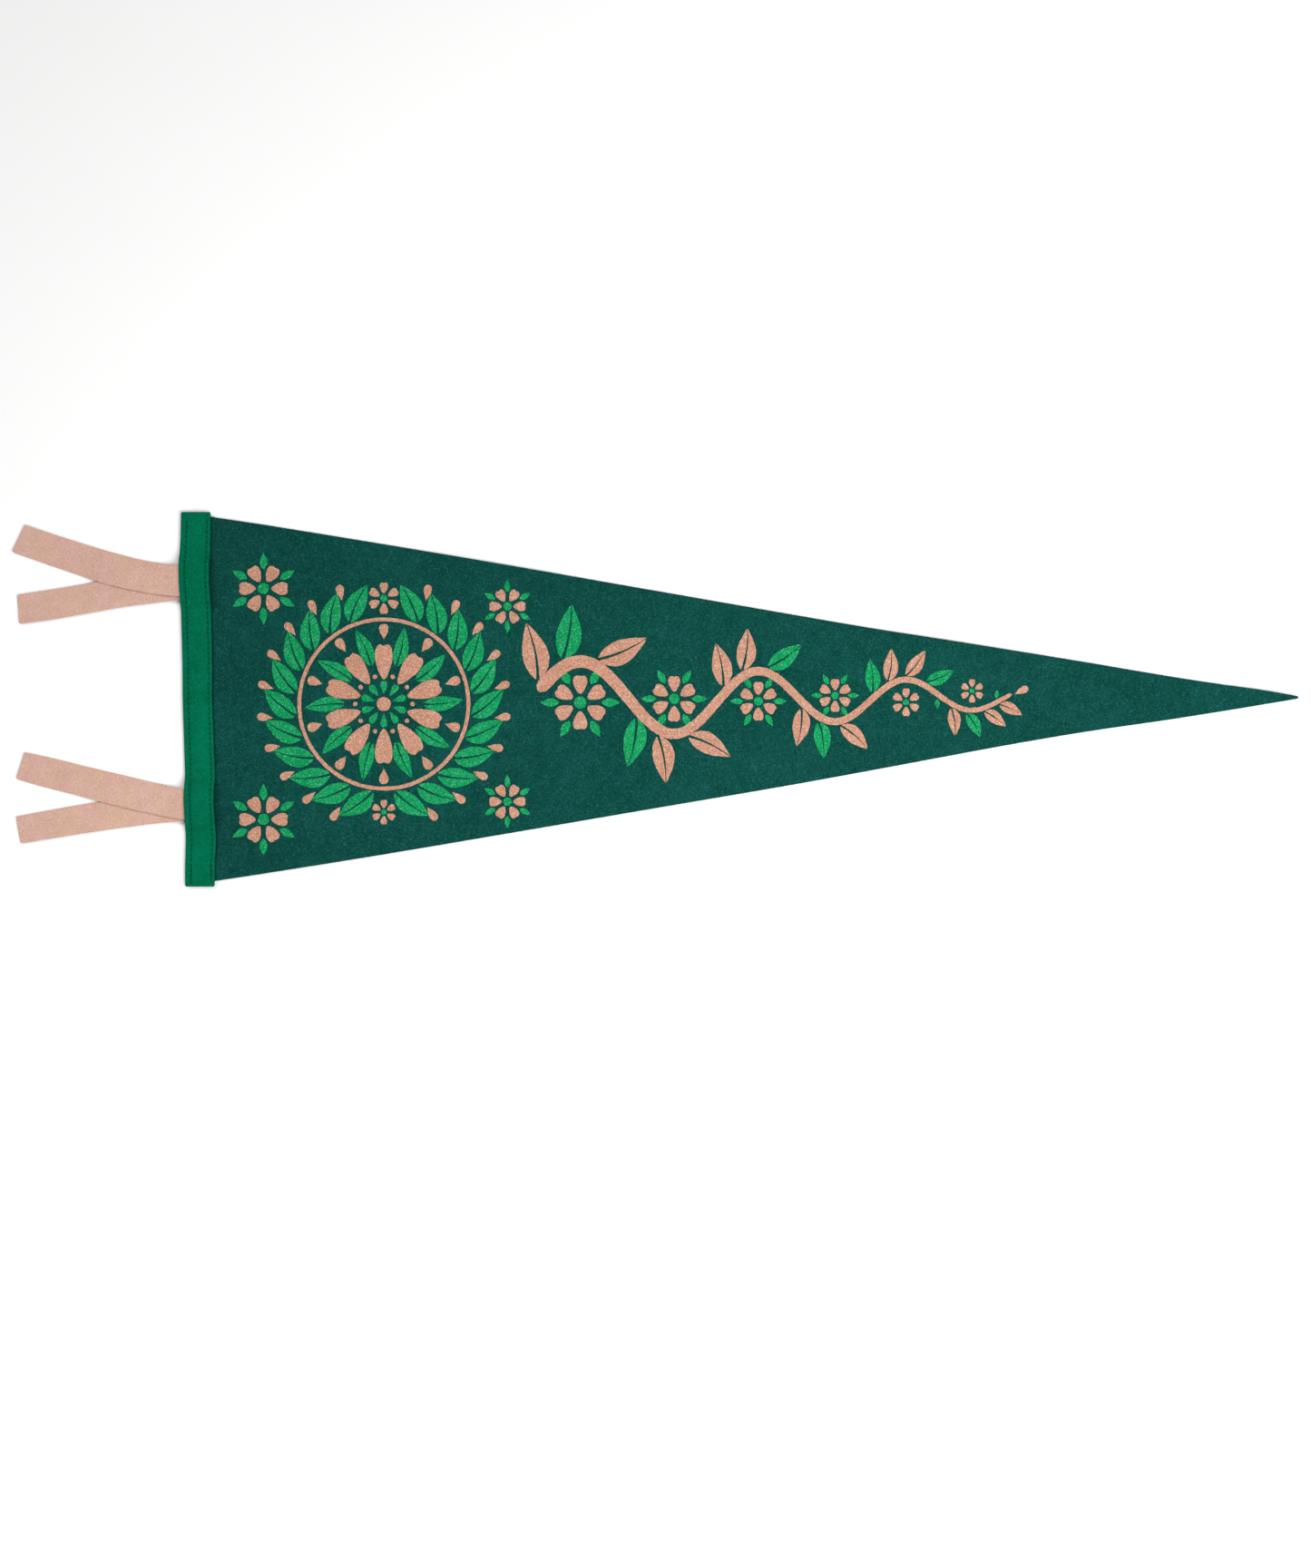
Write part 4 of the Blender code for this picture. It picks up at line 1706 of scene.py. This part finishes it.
    def cut_to_drape(self, piece: bpy.types.Object) -> None:
        """Cuts the flat shapes along a grid, so that they can follow the cloth's rises."""
        rows = coordinates(piece)
        low, high = rows.min(axis=0) / MM, rows.max(axis=0) / MM
        bpy.ops.object.mode_set(mode="EDIT")
        for axis in (0, 1):
            normal = (1.0, 0.0, 0.0) if axis == 0 else (0.0, 1.0, 0.0)
            for step in range(int((high[axis] - low[axis]) / self.cut_every) + 1):
                at = (low[axis] + (step + 0.4) * self.cut_every) * MM
                place = (at, 0.0, 0.0) if axis == 0 else (0.0, at, 0.0)
                bpy.ops.mesh.select_all(action="SELECT")
                bpy.ops.mesh.bisect(plane_co=place, plane_no=normal)
        bpy.ops.object.mode_set(mode="OBJECT")

    def lay_on_cloth(self, piece: bpy.types.Object) -> None:
        """Roughens the film's outline, lays it on the cloth and gives it its thickness."""
        random = np.random.RandomState(self.seed)
        rows = coordinates(piece)
        shaken = rows + random.normal(0.0, self.ragged * MM, rows.shape)
        x, y = shaken[:, 0] / MM, shaken[:, 1] / MM
        height = self.cloth.face(x, y)
        thicken(piece, in_metres((x, y, height + self.over_felt)), in_metres((x, y, height - self.sunk)))


@dataclass
class Studio:
    """The floor, the soft lights and the camera straight over the pennant."""

    sky: float = 0.42
    key: float = 1.3
    key_angle: float = 16.0
    key_place: Color = (-1.2, 1.2, 1.5)
    fill: float = 10.6
    fill_size: float = 1.0
    fill_place: Color = (0.60, -0.40, 0.80)
    fill_aim: Color = (0.60, -0.36, 0.0)
    lens: float = 85.0
    sensor: float = 36.0
    farthest: float = 50.0
    floor_half: float = 6000.0
    floor_middle: float = 280.0
    floor_drop: float = 0.25

    def lay_floor(self) -> None:
        """A wide level floor, just under the pennant."""
        deselect_all()
        bpy.ops.mesh.primitive_grid_add(x_subdivisions=8, y_subdivisions=8, size=2.0 * self.floor_half * MM,
                                        location=(self.floor_middle * MM, 0.0, -self.floor_drop * MM))
        floor = take_new("floor")
        dress(floor, PALE_FLOOR.make())

    def add_light(self, data: bpy.types.Light, place: Color, aim: Color, energy: float) -> None:
        """Hangs a light.

        Args:
            data: The light, with its own size set.
            place: Where it hangs, in metres.
            aim: The place that it faces, in metres.
            energy: Its strength.
        """
        data.energy = energy
        lamp = bpy.data.objects.new(data.name, data)
        lamp.location = place
        lamp.rotation_euler = (Vector(aim) - Vector(place)).to_track_quat("-Z", "Y").to_euler()
        bpy.context.scene.collection.objects.link(lamp)

    def light(self) -> None:
        """An even sky of soft light, and a key light from the upper left."""
        world = bpy.data.worlds.new("soft_sky")
        world.use_nodes = True
        sky = world.node_tree.nodes["Background"]
        sky.inputs["Color"].default_value = (1.0, 1.0, 1.0, 1.0)
        sky.inputs["Strength"].default_value = self.sky
        bpy.context.scene.world = world
        key = bpy.data.lights.new("key", "SUN")
        key.angle = math.radians(self.key_angle)
        self.add_light(key, self.key_place, (0.0, 0.0, 0.0), self.key)
        fill = bpy.data.lights.new("fill", "AREA")
        fill.shape = "DISK"
        fill.size = self.fill_size
        self.add_light(fill, self.fill_place, self.fill_aim, self.fill)
        bpy.context.scene.view_settings.view_transform = "Standard"
        bpy.context.scene.view_settings.look = "None"

    def place_camera(self) -> None:
        """A long lens straight over the middle of the photograph's frame."""
        data = bpy.data.cameras.new("camera")
        data.lens = self.lens
        data.sensor_width = self.sensor
        data.sensor_fit = "AUTO"
        data.clip_end = self.farthest
        view_height = PHOTO_HEIGHT * PHOTO_MM_PER_PIXEL * MM
        camera = bpy.data.objects.new("camera", data)
        camera.location = (
            (PHOTO_WIDTH / 2.0 - PHOTO_ORIGIN_X) * PHOTO_MM_PER_PIXEL * MM,
            (PHOTO_ORIGIN_Y - PHOTO_HEIGHT / 2.0) * PHOTO_MM_PER_PIXEL * MM,
            view_height * self.lens / self.sensor,
        )
        bpy.context.scene.collection.objects.link(camera)
        bpy.context.scene.camera = camera


def make_ties(cloth: PennantCloth) -> tuple[FoldedTie, FoldedTie]:
    """The two folded ties, as they lie in their V shapes."""
    crease = 3.0
    upper = FoldedTie(
        "upper_tie", "tie_upper", cloth,
        over=TieTail((
            TailRow(-110.9, 99.0, 18.4),
            TailRow(-91.0, 92.1, 18.7),
            TailRow(-73.1, 86.2, 19.1),
            TailRow(-54.7, 80.4, 19.7),
            TailRow(-36.0, 75.9, 19.3),
            TailRow(-19.5, 73.3, 19.2),
            TailRow(-11.0, 72.8, 19.6),
            TailRow(crease, 72.4, 18.8),
        ), 6.5, crease),
        under=TieTail((
            TailRow(-110.9, 55.2, 17.8),
            TailRow(-91.0, 58.1, 18.1),
            TailRow(-73.1, 61.1, 17.9),
            TailRow(-46.3, 66.0, 18.3),
            TailRow(-28.5, 68.2, 18.3),
            TailRow(-11.7, 70.4, 18.3),
            TailRow(crease, 72.4, 18.8),
        ), 4.4, crease),
        crease_x=crease,
    )
    lower = FoldedTie(
        "lower_tie", "tie_lower", cloth,
        over=TieTail((
            TailRow(-109.7, -40.8, 17.2),
            TailRow(-91.0, -45.5, 18.4),
            TailRow(-73.1, -50.0, 18.5),
            TailRow(-46.3, -56.7, 19.2),
            TailRow(-28.5, -60.8, 19.0),
            TailRow(-11.7, -64.2, 19.0),
            TailRow(crease, -65.6, 18.4),
        ), 3.9, crease),
        under=TieTail((
            TailRow(-110.9, -80.5, 16.7),
            TailRow(-91.0, -77.0, 17.2),
            TailRow(-73.1, -74.0, 17.5),
            TailRow(-46.3, -70.0, 17.8),
            TailRow(-28.5, -67.7, 17.8),
            TailRow(-11.7, -66.2, 18.1),
            TailRow(crease, -65.6, 18.4),
        ), 0.0, crease),
        crease_x=crease,
    )
    return upper, lower


def finish_piece(piece: bpy.types.Object, material: bpy.types.Material) -> None:
    """Dresses a piece, lets it ride with the pennant and reports it."""
    dress(piece, material)
    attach(piece, ROOT)
    LOG.info("%s: %d faces", piece.name, len(piece.data.polygons))


def add_fuzz(name: str, felt: bpy.types.Object, material: bpy.types.Material,
             seed: int, hidden_beyond_x: float | None = None) -> None:
    """Adds the loose fibres on one felt piece's cut edges.

    Args:
        name: The fibres' name.
        felt: The piece whose edges they stand on.
        material: The felt's own material.
        seed: Where the random draws start.
        hidden_beyond_x: The X in millimetres past which the edges are under the band.
    """
    fuzz = EdgeFuzz(seed, hidden_beyond_x=hidden_beyond_x).build(name, felt)
    finish_piece(fuzz, material)


def main() -> None:
    """Builds the pennant's pieces in order, then the studio."""
    logging.basicConfig(level=logging.INFO, format="%(name)s: %(message)s")
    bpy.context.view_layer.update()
    cloth = PennantCloth()
    ties = make_ties(cloth)
    band = HeadingBand(cloth, ties)

    # The body's felt carries a painted shade along the band's inner edge.
    body_felt = BODY_FELT.make(band.inner_edge())
    body = cloth.build()
    finish_piece(body, body_felt)
    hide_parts("pennant_body")
    cloth.flat_area()
    add_fuzz("body_edge_fuzz", body, body_felt, seed=11)

    tie_felt = TIE_FELT.make()
    for tie, seed in zip(ties, (12, 13)):
        strip = tie.build()
        finish_piece(strip, tie_felt)
        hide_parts(tie.node)
        tie.flat_length() * MM
        add_fuzz(f"{tie.name}_edge_fuzz", strip, tie_felt, seed, hidden_beyond_x=-12.0)

    band_felt = BAND_FELT.make()
    strip = band.build()
    finish_piece(strip, band_felt)
    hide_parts("header_band")
    add_fuzz("band_edge_fuzz", strip, band_felt, seed=14)

    thread = SEAM_THREAD.make()
    stitching = Stitching(band)
    for on_face in (True, False):
        finish_piece(stitching.build(on_face), thread)

    medallion, garland = Medallion(), Garland()
    shapes = medallion.shapes() + garland.shapes()
    green = InkFilm(cloth, Ink.GREEN, shapes, over_felt=0.12)
    finish_piece(green.build([]), GREEN_PRINT.make())
    peach = InkFilm(cloth, Ink.PEACH, shapes, over_felt=0.19)
    stems = [
        peach.ribbon("wreath_stem", 180, True, medallion.stem),
        peach.ribbon("garland_stem", 220, False, garland.stem),
    ]
    finish_piece(peach.build(stems), PEACH_PRINT.make())

    studio = Studio()
    studio.lay_floor()
    studio.light()
    studio.place_camera()


if __name__ == "__main__":
    main()
